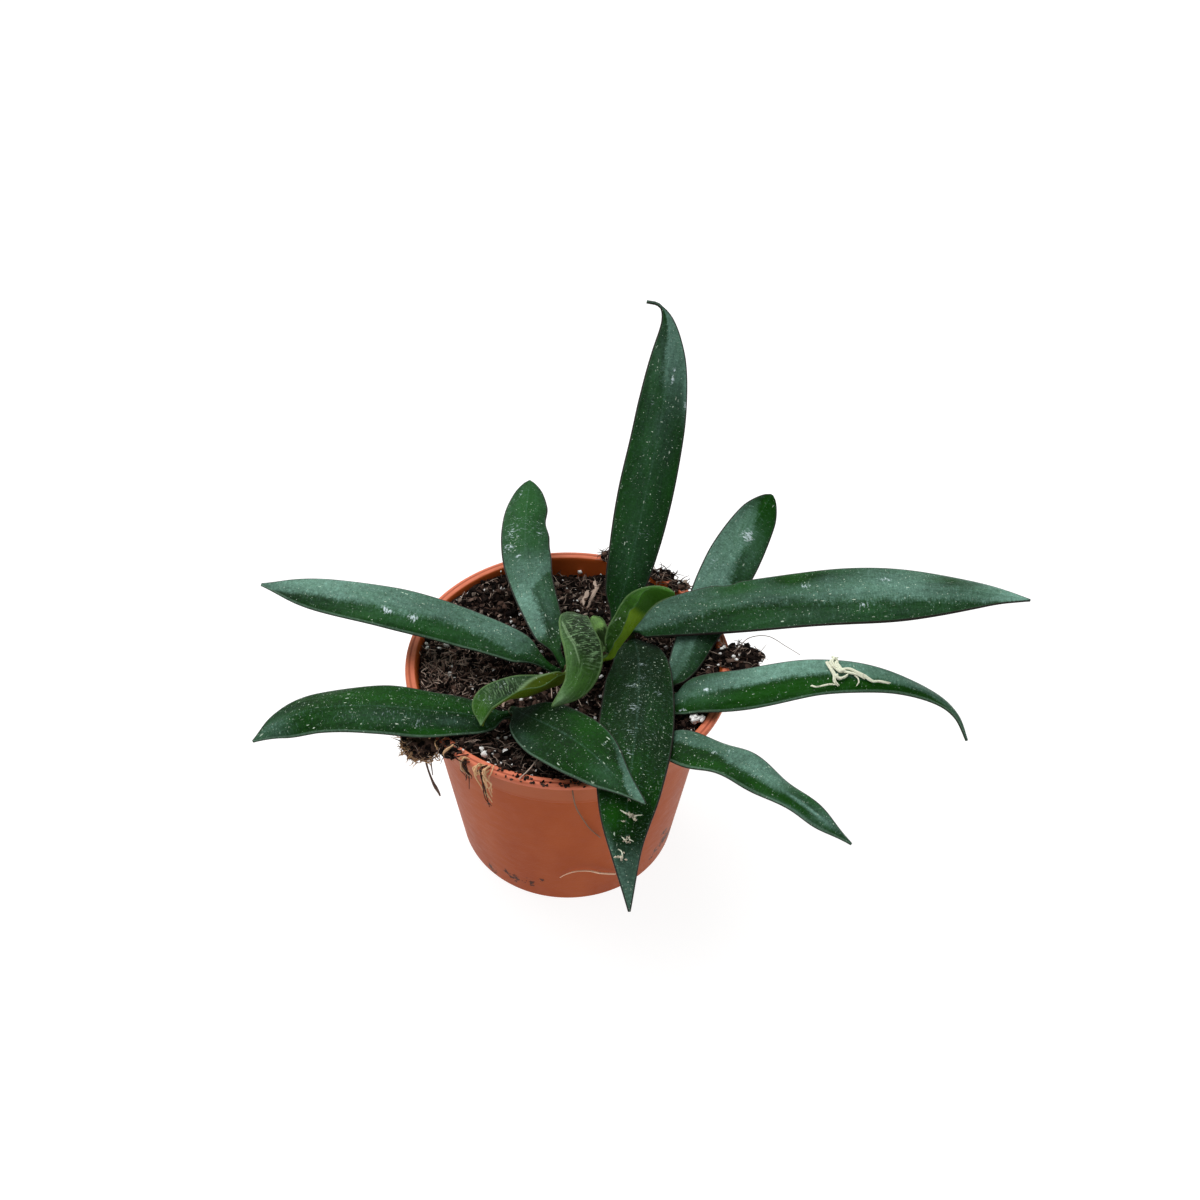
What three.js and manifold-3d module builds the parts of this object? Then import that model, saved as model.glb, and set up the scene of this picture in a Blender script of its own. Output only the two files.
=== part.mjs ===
// A potted minibelle hoya: five rooted cuttings with long leathery leaves in a 12 cm nursery pot.
// Millimetres, +Z up. The origin is the middle of the pot's underside, on the surface it stands on.

import * as THREE from 'three';
import Module from 'manifold-3d';

const wasm = await Module();
wasm.setup();

// Gap that is left where one piece touches another, and the wider one in the holes that stems stand in.
const clearance = 0.3;
const stemGap = 0.4;

// Radius of the innermost ring of a turned piece. A fan of triangles closes it.
const innermostRadius = 0.5;

const potSize = {
  height: 90,
  rimRadius: 60,
  lipHeight: 2.2,
  collarTopRadius: 57.2,
  collarFootRadius: 54.4,
  collarHeight: 16,
  wallTopRadius: 52.6,
  footRadius: 43,
  footRingWidth: 5,
  wallThickness: 1.3,
  floorThickness: 1.4,
  footLift: 1.6,
  centreDiscRadius: 15,
  edgeRound: 0.6,
  collarStep: 1.5,
  drainHoles: 8,
  drainHoleRadius: 3.2,
  drainCircleRadius: 27,
  drainHoleSides: 12,
  sides: 48,
};

// The soil lies level round the stems and meets the wall at edgeHeights, which go round the pot
// from +X by way of the back. edgeCalm is how much smaller the bumps are at the wall.
const soilSize = {
  bottom: 3.4,
  level: 83.3,
  levelRadius: 36,
  edgeHeights: [88.2, 88.4, 87.6, 81.5, 88.2, 89, 87.2, 87.5, 88.4, 87.6, 86.8, 87],
  crumbHeight: 1.1,
  edgeCalm: 0.6,
  sides: 48,
  ringRadii: [50.5, 46, 41.5, 37, 32, 27, 22, 17, 12, 7.5, 3.5],
  lumpSides: 12,
  lumpRows: 7,
};

// Lumps of soil and root that have spilled over the rim: middle, half sizes, seed of their bumps.
const spills = [
  { at: [62.8, 2.8, 89.8], half: [9.2, 6.5, 2.7], seed: 3 },
  { at: [52, 24, 90], half: [7, 8, 2.4], seed: 8 },
  { at: [38, 46, 90.4], half: [8, 4.5, 2], seed: 5 },
  { at: [11, 57.5, 89.8], half: [3, 2.6, 2], seed: 9 },
  { at: [-49.5, -37, 85.5], half: [8, 9, 6], seed: 11 },
  { at: [-35, -46, 89.2], half: [7, 5, 2.4], seed: 14 },
];
// Soil that joins the spilled lumps to the rest, up the inside of the wall.
const spillBridges = [
  { from: [49, -4, 82], to: [59, 1, 88.8], radius: 3 },
  { from: [42, 19, 82], to: [49, 22.5, 88.5], radius: 3.5 },
  { from: [31, 37, 80], to: [35.5, 42.5, 89], radius: 2.6 },
  { from: [9.5, 50, 80], to: [10.5, 55.4, 89.6], radius: 1.6 },
  { from: [-38, -29, 84], to: [-49, -36.5, 87.6], radius: 4.6 },
];

const hangingRoot = {
  path: [[-49, -40, 83], [-48.3, -43, 79], [-46, -46.5, 73.5], [-44, -48.5, 70.5], [-43.6, -48.8, 69.2]],
  radii: [1.5, 0.9, 0.6, 0.7, 1.2, 0.6],
  sides: 8,
  steps: 8,
};

// Each cutting's stem stands in the soil: points up its middle, and its radius at foot and top.
const stemSides = 8;
const stemSteps = 6;
const stems = {
  stem_centre: {
    path: [[17, 10, 58], [16, 9, 74], [14, 5, 86], [13, -1, 93], [12, -5, 98.5]],
    radii: [2.1, 1.4],
  },
  stem_back_right: { path: [[25, 15, 60], [24, 15, 78], [22.5, 13.5, 92]], radii: [2, 1.7] },
  stem_left: { path: [[0, 0, 58], [-1, -2, 76], [-1, -6, 90], [1, -8, 95]], radii: [2, 1.4] },
  stem_right: { path: [[35, -12, 60], [35, -13, 76], [34, -15, 90]], radii: [2, 1.7] },
  stem_front_left: { path: [[-19, -23, 58], [-19, -24, 76], [-19, -26, 90]], radii: [2, 1.7] },
  stem_front_right: { path: [[27, -31, 60], [27, -32, 76], [28, -34, 90.5]], radii: [1.9, 1.6] },
};

// One leaf is a round stalk that widens to a blade. path runs up its midrib from the stem to the
// tip. faces says which way the upper side looks, from root to tip. widths are the blade's widths at
// widthPlaces, shares of its length up to tipFrom, where a drawn-out tip begins, and tipRound is the
// share that a blunt tip is rounded over. A dent narrows the blade by depth on its left or right
// side, -1 or 1, at a place and for a reach that are shares of its length.
// fold is how far in degrees each half drops from the midrib, and curl how far its edge drops
// further, both at root and tip. wave is the height and number of the waves along the edges.
// stalk is the round stalk's share of the length, and flattens where it turns into the blade, in
// stalk lengths. tipThins is where the blade begins to thin towards its tip, and by how much.
const widthPlaces = [0, 0.1, 0.25, 0.4, 0.55, 0.7, 0.85, 1];

const sideGap = 0.3;
const leafDefaults = {
  stalk: 0.09,
  stalkRadius: 1.5,
  flattens: { from: 0.6, to: 1.9 },
  tipRound: 0,
  tipFrom: 1,
  dents: [],
  tipThins: { from: 0.7, by: 0.45 },
  leastWidth: 0.9,
  fold: [4, 9],
  curl: [8, 16],
  wave: { height: 0.6, count: 2.2, start: 0.1 },
  thickness: 1.9,
  edgeThickness: 0.9,
  steps: 18,
  across: 6,
};

const leaves = {
  leaf_tall_back: {
    stem: 'stem_centre',
    path: [
      [13.5, 2, 90], [15.5, 10, 95.5], [21, 24, 112], [26.7, 44, 134],
      [31.5, 63, 154], [33.7, 80, 172], [32.6, 89, 181], [29.5, 91.8, 184.6], [25, 92, 185.6],
    ],
    faces: [[0, -0.7, 0.7], [0.1, -0.75, 0.7]],
    widths: [3, 14, 19, 21, 20.6, 19, 13.5, 1.4],
    tipFrom: 0.95,
    steps: 24,
  },
  leaf_long_right: {
    stem: 'stem_back_right',
    path: [
      [22, 12.5, 92.5], [27, 13.6, 96], [34, 15, 98], [45, 17.3, 99.6], [60, 19.2, 102],
      [82, 19.6, 106.5], [103, 19.5, 110], [132, 19.3, 112.5], [153, 19.3, 111.6], [169, 17.6, 110],
    ],
    faces: [[0, -0.3, 1], [0, -0.1, 1]],
    widths: [11, 17, 22, 25.2, 26, 23.6, 15.5, 1],
    stalk: 0.02,
    dents: [{ side: -1, at: 0.25, depth: 0.1, reach: 0.035 }],
    steps: 28,
  },
  leaf_back_right: {
    stem: 'stem_right',
    path: [
      [34.4, -13.8, 88.9], [38, -9, 88.9], [41.8, -1.7, 90.2], [48.5, 14, 94.4],
      [51.7, 22, 95.5], [57, 34, 100], [67.6, 51.8, 110], [76.2, 62.4, 120],
    ],
    faces: [[0, -0.2, 1], [0, -0.7, 0.7]],
    widths: [5, 11, 15, 18, 20, 20.8, 17.5, 10],
    stalk: 0.05,
    tipRound: 0.11,
  },
  leaf_back_left: {
    stem: 'stem_left',
    path: [
      [-1, -6.6, 91.6], [-3.8, -1.8, 93.4], [-10.3, 15.7, 97.5],
      [-17.5, 38, 104], [-19, 55, 109], [-18.6, 78.4, 111.2],
    ],
    faces: [[0, -0.3, 1], [0, -0.1, 1]],
    widths: [7, 12, 15.2, 17.2, 19, 19.2, 16.4, 7],
    tipRound: 0.08,
    dents: [
      { side: 1, at: 0.74, depth: 0.14, reach: 0.1 },
      { side: 1, at: 0.5, depth: -0.06, reach: 0.12 },
    ],
    steps: 22,
  },
  leaf_long_left: {
    stem: 'stem_left',
    path: [
      [-1, -5.4, 87.6], [-6, -6, 90.5], [-17, -1.2, 96], [-40, 5, 102],
      [-62, 7.8, 107], [-87, 11.2, 110], [-114, 16.5, 108],
    ],
    faces: [[0, -0.2, 1], [0, -0.1, 1]],
    widths: [8, 14, 17.2, 18.2, 19.4, 18, 12.6, 1.4],
  },
  leaf_low_left: {
    stem: 'stem_front_left',
    path: [
      [-19, -25.6, 87.2], [-24.5, -28.5, 89.5], [-30, -31, 92], [-39, -32.4, 95],
      [-50, -34.2, 98], [-64, -34.4, 99.6], [-88, -34.1, 96.5], [-99.5, -36.8, 92],
      [-108.5, -41.6, 87.4],
    ],
    faces: [[0, -0.2, 1], [0, -0.1, 1]],
    widths: [7, 14, 19, 20, 20, 18.3, 13.8, 1],
    stalk: 0.05,
  },
  leaf_short_front: {
    stem: 'stem_front_left',
    path: [
      [-19, -26, 90], [-14.8, -30.8, 93.5], [-5.8, -39.6, 98], [0.2, -45.6, 100.5],
      [8.8, -53.7, 101.4], [15.9, -61.6, 100.8], [27.4, -72.9, 98.8],
    ],
    faces: [[0, -0.2, 1], [0.1, -0.3, 1]],
    widths: [9, 18, 23.5, 25, 22.8, 16.8, 8.7, 1],
    stalk: 0.05,
  },
  leaf_long_front: {
    stem: 'stem_back_right',
    path: [
      [23, 14, 86.5], [24.3, 9.5, 89.6], [25.2, 2, 92], [25.6, -14, 94.5],
      [24.7, -35.3, 96.8], [22.4, -61.8, 96.5], [21.4, -76, 89], [23.3, -94.5, 69],
    ],
    faces: [[0, 0.2, 1], [0, -0.6, 0.8]],
    widths: [15, 22.5, 25.8, 27, 25.4, 20.2, 10, 1],
    stalk: 0.03,
    dents: [{ side: 1, at: 0.1, depth: 0.18, reach: 0.12 }],
  },
  leaf_curled_right: {
    stem: 'stem_right',
    path: [
      [34, -15, 85.2], [38.3, -18, 88.6], [46, -19.9, 95.2], [61, -21, 100], [88, -19.6, 106],
      [113, -21, 106], [131, -22.2, 98.5], [138.4, -24.9, 92.4], [142.3, -30.7, 86],
    ],
    faces: [[0, -0.2, 1], [0.5, -0.1, 0.8]],
    widths: [10, 15.2, 16.8, 16.8, 13.8, 8.8, 5.6, 1],
    stalk: 0.025,
    steps: 22,
  },
  leaf_low_right: {
    stem: 'stem_front_right',
    path: [
      [28, -34, 89.2], [33, -38.3, 90.8], [42.3, -43.3, 93.7], [58.6, -53.6, 98],
      [74.2, -65.3, 97], [86, -72.5, 92.8], [95.4, -78.7, 88],
    ],
    faces: [[0, 0.05, 1], [0.1, -0.1, 1], [0.2, -0.2, 1]],
    widths: [11, 14.8, 15.6, 14.8, 12.5, 10, 7, 1],
    stalk: 0.05,
    wave: { height: 1, count: 3, start: 0 },
  },
};

const youngLeaves = {
  young_leaf_left: {
    stem: 'stem_left',
    path: [
      [0.7, -7.6, 93], [-2, -15, 95], [-6.4, -19, 96.5], [-13.5, -25, 98.5],
      [-20.4, -28.8, 100.6], [-27.4, -32.2, 99.6], [-29.2, -38, 94.8],
    ],
    faces: [[0.1, 0.4, 0.9], [0, 0.4, 0.9], [-0.7, -0.2, 0.6]],
    widths: [2.6, 7, 10, 13, 15.5, 16, 11.5, 1],
    stalkRadius: 1.2,
    fold: [-60, -8],
    curl: [0, 0],
    steps: 14,
  },
  young_leaf_centre: {
    stem: 'stem_centre',
    path: [
      [11.8, -4.6, 97], [9, -2, 101], [5.5, 2.4, 105.5], [1.8, 4.6, 109.2], [2.9, -5.5, 112],
      [5.2, -14, 112], [5.8, -20.8, 109.4], [3.2, -27, 104.6], [-4.8, -32.2, 99],
    ],
    faces: [[0, 0.8, 0.6], [0, 0, 1], [0, -0.8, 0.6]],
    widths: [2.4, 4.8, 10.6, 12.8, 13.8, 12.8, 8.4, 1],
    stalkRadius: 1.1,
    wave: { height: 0.2, count: 2, start: 0 },
  },
  young_leaf_right: {
    stem: 'stem_centre',
    path: [
      [12.3, -5, 95.8], [15, -6.5, 99], [17.3, -4, 101.8], [21, 0, 105],
      [25, 4, 109], [30, 7, 114], [37, 4, 121],
    ],
    faces: [[0, 0.4, 0.9], [0, 0.4, 0.9]],
    widths: [2.6, 8, 14, 16, 16, 14, 9, 1],
    stalkRadius: 1.2,
    fold: [-60, -50],
    curl: [0, 0],
    steps: 14,
  },
  tip_sprout: {
    stem: 'stem_centre',
    path: [[12.9, -4.2, 98.6], [12.9, -1.6, 101.5], [11, 0.8, 105], [8.2, 3, 109]],
    faces: [[0, -0.7, 0.7], [0, -0.7, 0.7]],
    widths: [1.6, 2.5, 4, 5, 5.8, 6.2, 5.2, 1.4],
    stalkRadius: 0.8,
    thickness: 1.2,
    steps: 6,
    across: 4,
  },
};

const finishes = {
  pot: { color: 0xb4603c, roughness: 0.5 },
  soil: { color: 0x2b1d16, roughness: 0.95 },
  stem: { color: 0x7c4a34, roughness: 0.6 },
  leaf: { color: 0x1f4a28, roughness: 0.35 },
  youngLeaf: { color: 0x4f7f2c, roughness: 0.35 },
};

function vector(point) {
  return new THREE.Vector3(point[0], point[1], point[2]);
}

function mix(from, to, share) {
  return from + (to - from) * share;
}

function smoothStep(share) {
  const t = THREE.MathUtils.clamp(share, 0, 1);
  return t * t * (3 - 2 * t);
}

// A closed skin through rings of equally many points, with a fan over each end ring.
function skinRings(rings) {
  const count = rings[0].length;
  const positions = [];
  const triangles = [];
  for (const ring of rings) {
    for (const point of ring) positions.push(point.x, point.y, point.z);
  }
  for (let row = 0; row < rings.length - 1; row += 1) {
    for (let i = 0; i < count; i += 1) {
      const a = row * count + i;
      const b = row * count + ((i + 1) % count);
      triangles.push(a, b, b + count, a, b + count, a + count);
    }
  }
  const ends = [[0, -1], [rings.length - 1, 1]];
  for (const [row, side] of ends) {
    const middle = new THREE.Vector3();
    for (const point of rings[row]) middle.addScaledVector(point, 1 / count);
    const centre = positions.length / 3;
    positions.push(middle.x, middle.y, middle.z);
    for (let i = 0; i < count; i += 1) {
      const a = row * count + i;
      const b = row * count + ((i + 1) % count);
      if (side > 0) triangles.push(a, b, centre);
      else triangles.push(b, a, centre);
    }
  }
  return solidFrom(positions, triangles);
}

function solidFrom(positions, triangles) {
  return new wasm.Manifold(new wasm.Mesh({
    numProp: 3,
    vertProperties: new Float32Array(positions),
    triVerts: new Uint32Array(triangles),
  }));
}

function geometryFrom(solid) {
  const mesh = solid.getMesh();
  const geometry = new THREE.BufferGeometry();
  geometry.setAttribute('position', new THREE.BufferAttribute(mesh.vertProperties, 3));
  geometry.setIndex(new THREE.BufferAttribute(mesh.triVerts, 1));
  geometry.computeVertexNormals();
  return geometry;
}

function ringAround(radius, height, sides) {
  const ring = [];
  for (let i = 0; i < sides; i += 1) {
    const angle = (i / sides) * Math.PI * 2;
    ring.push(new THREE.Vector3(Math.cos(angle) * radius, Math.sin(angle) * radius, height));
  }
  return ring;
}

// The middle line of a leaf, stem or root.
function smoothLine(points) {
  return new THREE.CatmullRomCurve3(points.map(vector), false, 'centripetal');
}

function radiusAt(radii, share) {
  const place = share * (radii.length - 1);
  const index = Math.min(radii.length - 2, Math.floor(place));
  return mix(radii[index], radii[index + 1], place - index);
}

// A tapering round rod along a path. grow makes it thicker all round and longer at both ends.
function rod(points, radii, sides, steps, grow = 0) {
  const ends = [vector(points[0]), vector(points.at(-1))];
  ends[0].add(ends[0].clone().sub(vector(points[1])).setLength(grow));
  ends[1].add(ends[1].clone().sub(vector(points.at(-2))).setLength(grow));
  const line = smoothLine([ends[0].toArray(), ...points.slice(1, -1), ends[1].toArray()]);
  const rings = [];
  for (let row = 0; row <= steps; row += 1) {
    const share = row / steps;
    const middle = line.getPointAt(share);
    const along = line.getTangentAt(share);
    const right = new THREE.Vector3(1, 0, 0).addScaledVector(along, -along.x).normalize();
    const front = new THREE.Vector3().crossVectors(along, right);
    const radius = radiusAt(radii, share) + grow;
    const ring = [];
    for (let i = 0; i < sides; i += 1) {
      const angle = (i / sides) * Math.PI * 2;
      ring.push(middle.clone()
        .addScaledVector(right, Math.cos(angle) * radius)
        .addScaledVector(front, Math.sin(angle) * radius));
    }
    rings.push(ring);
  }
  return skinRings(rings);
}

function stemSolid(stem, grow = 0) {
  return rod(stem.path, stem.radii, stemSides, stemSteps, grow);
}

// The pot's wall is one closed profile, turned about the axis. grow thickens it on every side.
function potSolid(grow = 0) {
  const p = potSize;
  const collarFoot = p.height - p.collarHeight;
  const lipFoot = p.height - p.lipHeight;
  const floorTop = p.footLift + p.floorThickness;
  const round = p.edgeRound;
  const step = p.collarStep;
  const g = grow;
  const inside = p.wallThickness + g;
  const profile = [
    [innermostRadius, -g],
    [p.centreDiscRadius + g, -g],
    [p.centreDiscRadius + p.footLift + g, p.footLift - g],
    [p.footRadius - p.footRingWidth - g, p.footLift - g],
    [p.footRadius - p.footRingWidth + round - g, -g],
    [p.footRadius - round + g, -g],
    [p.footRadius + g, round],
    [p.wallTopRadius + g, collarFoot - step],
    [p.collarFootRadius + g, collarFoot - g],
    [p.collarTopRadius + g, lipFoot - round - g],
    [p.rimRadius - round + g, lipFoot - g],
    [p.rimRadius + g, lipFoot + round],
    [p.rimRadius + g, p.height - round],
    [p.rimRadius - round + g, p.height + g],
    [p.collarTopRadius - round - g, p.height + g],
    [p.collarTopRadius - inside, p.height - step],
    [p.collarFootRadius - inside, collarFoot + step],
    [p.wallTopRadius - inside, collarFoot - step],
    [p.footRadius - inside, floorTop + step],
    [p.footRadius - step - inside, floorTop + g],
    [innermostRadius, floorTop + g],
  ];
  const rings = profile.map(([radius, height]) => ringAround(radius, height, p.sides));
  return skinRings(rings);
}

function makePot() {
  const p = potSize;
  const throughFloor = p.footLift + p.floorThickness + 1;
  let pot = potSolid();
  for (let i = 0; i < p.drainHoles; i += 1) {
    const angle = ((i + 0.5) / p.drainHoles) * Math.PI * 2;
    const x = Math.cos(angle) * p.drainCircleRadius;
    const y = Math.sin(angle) * p.drainCircleRadius;
    const ends = [[x, y, -1], [x, y, throughFloor]];
    const hole = rod(ends, [p.drainHoleRadius, p.drainHoleRadius], p.drainHoleSides, 1);
    pot = pot.subtract(hole);
  }
  return pot;
}

// Height of the bumps on loose soil, from a few crossing waves.
function crumbs(x, y) {
  const coarse = Math.sin(x * 0.21 + 1.3) * Math.sin(y * 0.24 - 0.6);
  const middle = Math.sin(x * 0.53 - y * 0.37 + 2.1) * Math.sin(y * 0.61 + x * 0.18);
  const fine = Math.sin(x * 1.13 + y * 0.4) * Math.sin(y * 0.97 - x * 0.55 + 0.8);
  return soilSize.crumbHeight * (0.8 * coarse + 0.6 * middle + 0.4 * fine);
}

// Height at which the soil meets the wall in the direction of a point.
function edgeHeight(x, y) {
  const heights = soilSize.edgeHeights;
  const place = (Math.atan2(y, x) / (Math.PI * 2) + 1) * heights.length;
  const index = Math.floor(place);
  const next = heights[(index + 1) % heights.length];
  return mix(heights[index % heights.length], next, smoothStep(place - index));
}

function soilHeight(x, y) {
  const { level, levelRadius, edgeCalm } = soilSize;
  const nearWall = smoothStep((Math.hypot(x, y) - levelRadius) / (potSize.collarTopRadius - levelRadius));
  return mix(level, edgeHeight(x, y), nearWall) + crumbs(x, y) * (1 - edgeCalm * nearWall);
}

// Radius of the wall's inner face at a height in the collar.
function innerRadius(height) {
  const { collarFootRadius, collarTopRadius, collarHeight, wallThickness } = potSize;
  const share = (height - potSize.height + collarHeight) / collarHeight;
  return mix(collarFootRadius, collarTopRadius, share) - wallThickness;
}

// A rough lump: a ball of rings whose radius swells and shrinks with a few waves.
function lump({ at, half, seed }) {
  const { lumpSides, lumpRows } = soilSize;
  const rings = [];
  for (let row = 1; row < lumpRows; row += 1) {
    const tilt = Math.PI * (row / lumpRows) - Math.PI / 2;
    const ring = [];
    for (let i = 0; i < lumpSides; i += 1) {
      const turn = (i / lumpSides) * Math.PI * 2;
      const bump = 1 + 0.1 * Math.sin(turn * 3 + seed) * Math.cos(tilt * 2 + seed)
        + 0.08 * Math.sin(turn * 5 - seed * 2 + tilt * 4);
      ring.push(new THREE.Vector3(
        at[0] + half[0] * bump * Math.cos(tilt) * Math.cos(turn),
        at[1] + half[1] * bump * Math.cos(tilt) * Math.sin(turn),
        at[2] + half[2] * bump * Math.sin(tilt),
      ));
    }
    rings.push(ring);
  }
  return skinRings(rings);
}

function makeSoil() {
  const p = potSize;
  const collarFoot = p.height - p.collarHeight;
  const inner = (radius) => radius - p.wallThickness - clearance;
  const rings = [
    ringAround(innermostRadius, soilSize.bottom, soilSize.sides),
    ringAround(inner(p.footRadius) - p.collarStep, soilSize.bottom, soilSize.sides),
    ringAround(inner(p.footRadius), soilSize.bottom + p.collarStep, soilSize.sides),
    ringAround(inner(p.wallTopRadius), collarFoot - p.collarStep, soilSize.sides),
  ];
  const upperRadii = [p.collarTopRadius, ...soilSize.ringRadii];
  const upperRings = upperRadii.map((radius) => ringAround(radius, 0, soilSize.sides));
  for (const ring of upperRings) {
    for (const point of ring) point.z = soilHeight(point.x, point.y);
    rings.push(ring);
  }
  for (const point of upperRings[0]) {
    const shrink = (innerRadius(point.z) - clearance) / p.collarTopRadius;
    point.set(point.x * shrink, point.y * shrink, point.z);
  }
  let soil = skinRings(rings);
  for (const bridge of spillBridges) {
    const ends = [bridge.from, bridge.to];
    soil = soil.add(rod(ends, [bridge.radius, bridge.radius], soilSize.lumpSides, 2));
  }
  for (const spill of spills) soil = soil.add(lump(spill));
  soil = soil.subtract(potSolid(clearance));
  soil = soil.add(rod(hangingRoot.path, hangingRoot.radii, hangingRoot.sides, hangingRoot.steps));
  for (const stem of Object.values(stems)) soil = soil.subtract(stemSolid(stem, stemGap));
  return largestBody(soil);
}

// Cuts can leave a loose scrap behind, which is dropped.
function largestBody(solid) {
  const bodies = solid.decompose();
  bodies.sort((a, b) => b.volume() - a.volume());
  return bodies[0];
}

// A smooth curve through values that are given at rising places.
function curveThrough(places, values, share) {
  const last = places.length - 1;
  let index = 0;
  while (index < last - 1 && share > places[index + 1]) index += 1;
  const slope = (from, to) => (values[to] - values[from]) / (places[to] - places[from]);
  const length = places[index + 1] - places[index];
  const t = (share - places[index]) / length;
  const leave = slope(Math.max(0, index - 1), index + 1) * length;
  const arrive = slope(index, Math.min(last, index + 2)) * length;
  const bend = 3 * (values[index + 1] - values[index]) - 2 * leave - arrive;
  const twist = leave + arrive - 2 * (values[index + 1] - values[index]);
  return values[index] + leave * t + bend * t * t + twist * t ** 3;
}

// Half the blade's width at a share of its length.
function bladeHalf(leaf, share) {
  const past = Math.max(0, share - 1 + leaf.tipRound) / (leaf.tipRound || 1);
  const width = curveThrough(widthPlaces, leaf.widths, Math.min(1, share / leaf.tipFrom));
  return (width / 2) * Math.sqrt(1 - past * past * 0.98);
}

// The share of its half width that a blade lacks at its dents. s runs from -1 to 1 across it.
function dentDepth(leaf, bladeShare, s) {
  let depth = 0;
  for (const dent of leaf.dents) {
    const near = smoothStep(1 - Math.abs(bladeShare - dent.at) / dent.reach);
    depth += dent.depth * near * smoothStep(s * dent.side);
  }
  return depth;
}

function directionAt(directions, share) {
  const place = share * (directions.length - 1);
  const index = Math.min(directions.length - 2, Math.floor(place));
  return vector(directions[index]).lerp(vector(directions[index + 1]), place - index);
}

// One ring of a leaf: the upper side from its left edge to its right one, then back underneath.
function leafRing(leaf, line, share) {
  const middle = line.getPointAt(share);
  const along = line.getTangentAt(share);
  const face = directionAt(leaf.faces, share);
  const side = new THREE.Vector3().crossVectors(along, face).normalize();
  const up = new THREE.Vector3().crossVectors(side, along);
  const bladeShare = Math.max(0, (share - leaf.stalk) / (1 - leaf.stalk));
  const half = Math.max(leaf.leastWidth / 2, bladeHalf(leaf, bladeShare));
  const { from, to } = leaf.flattens;
  const flat = smoothStep((share / leaf.stalk - from) / (to - from));
  const fold = THREE.MathUtils.degToRad(mix(leaf.fold[0], leaf.fold[1], bladeShare));
  const curl = THREE.MathUtils.degToRad(mix(leaf.curl[0], leaf.curl[1], bladeShare));
  const thins = leaf.tipThins;
  const thin = 1 - thins.by * smoothStep((bladeShare - thins.from) / (1 - thins.from));
  const wavePhase = Math.PI * 2 * (leaf.wave.count * bladeShare + leaf.wave.start);
  const upper = [];
  const under = [];
  for (let i = 0; i <= leaf.across; i += 1) {
    const s = (i / leaf.across) * 2 - 1;
    const angle = fold + (curl * Math.abs(s)) / 2;
    const wave = leaf.wave.height * s * s * Math.sin(wavePhase + s) * Math.min(1, half / 4);
    const bladeX = half * s * Math.cos(angle) * (1 - dentDepth(leaf, bladeShare, s));
    const bladeY = wave - half * Math.abs(s) * Math.sin(angle);
    const thick = mix(leaf.thickness, leaf.edgeThickness, s * s) * thin;
    const turn = Math.PI * (1 - i / leaf.across);
    const roundX = leaf.stalkRadius * Math.cos(turn);
    const roundY = leaf.stalkRadius * Math.sin(turn);
    upper.push([mix(roundX, bladeX, flat), mix(roundY, bladeY, flat)]);
    under.push([mix(roundX, bladeX, flat), mix(-roundY, bladeY - thick, flat)]);
  }
  // The stalk's two side points are set apart, so that no two corners share a place.
  under[0][1] -= sideGap * (1 - flat);
  under[leaf.across][1] -= sideGap * (1 - flat);
  under.reverse();
  return [...upper, ...under].map(([x, y]) => middle.clone()
    .addScaledVector(side, x)
    .addScaledVector(up, y));
}

function makeLeaf(values) {
  const leaf = { ...leafDefaults, ...values };
  const line = smoothLine(leaf.path);
  const rings = [];
  for (let row = 0; row <= leaf.steps; row += 1) {
    rings.push(leafRing(leaf, line, row / leaf.steps));
  }
  return largestBody(skinRings(rings).subtract(stemSolid(stems[leaf.stem], stemGap)));
}

function addNode(group, name, solid, finish) {
  const material = new THREE.MeshStandardMaterial({ ...finish, metalness: 0 });
  const mesh = new THREE.Mesh(geometryFrom(solid), material);
  mesh.name = name;
  group.add(mesh);
}

const pottedHoya = new THREE.Group();
addNode(pottedHoya, 'pot', makePot(), finishes.pot);
addNode(pottedHoya, 'soil', makeSoil(), finishes.soil);
for (const [name, stem] of Object.entries(stems)) {
  addNode(pottedHoya, name, stemSolid(stem), finishes.stem);
}
for (const [name, leaf] of Object.entries(leaves)) {
  addNode(pottedHoya, name, makeLeaf(leaf), finishes.leaf);
}
for (const [name, leaf] of Object.entries(youngLeaves)) {
  addNode(pottedHoya, name, makeLeaf(leaf), finishes.youngLeaf);
}

export default pottedHoya;
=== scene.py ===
import math

import bmesh
import bpy
import numpy as np
from mathutils import Matrix, Vector, noise


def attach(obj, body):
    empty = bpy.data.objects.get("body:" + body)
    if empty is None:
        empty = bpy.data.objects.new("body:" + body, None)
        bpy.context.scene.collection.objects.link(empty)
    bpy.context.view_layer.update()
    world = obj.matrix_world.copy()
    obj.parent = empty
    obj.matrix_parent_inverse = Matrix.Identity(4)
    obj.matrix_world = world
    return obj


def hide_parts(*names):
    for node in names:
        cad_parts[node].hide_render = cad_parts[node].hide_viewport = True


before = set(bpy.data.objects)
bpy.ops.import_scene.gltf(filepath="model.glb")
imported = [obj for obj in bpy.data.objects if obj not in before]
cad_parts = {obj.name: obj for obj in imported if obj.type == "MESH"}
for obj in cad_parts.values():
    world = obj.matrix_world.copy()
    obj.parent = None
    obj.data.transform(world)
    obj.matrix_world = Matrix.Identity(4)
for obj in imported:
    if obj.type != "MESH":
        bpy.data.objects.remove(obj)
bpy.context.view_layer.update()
mm = 0.001
print("frame loaded:", len(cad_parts), "nodes")

# Where the photo was taken from: the place of the lens, how far it looks down and how it is turned.
camera = {"at": (10.8, -349.42, 448.31), "down": 43.2, "roll": 1.62, "lens": 40.74, "sensor": 36}

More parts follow.
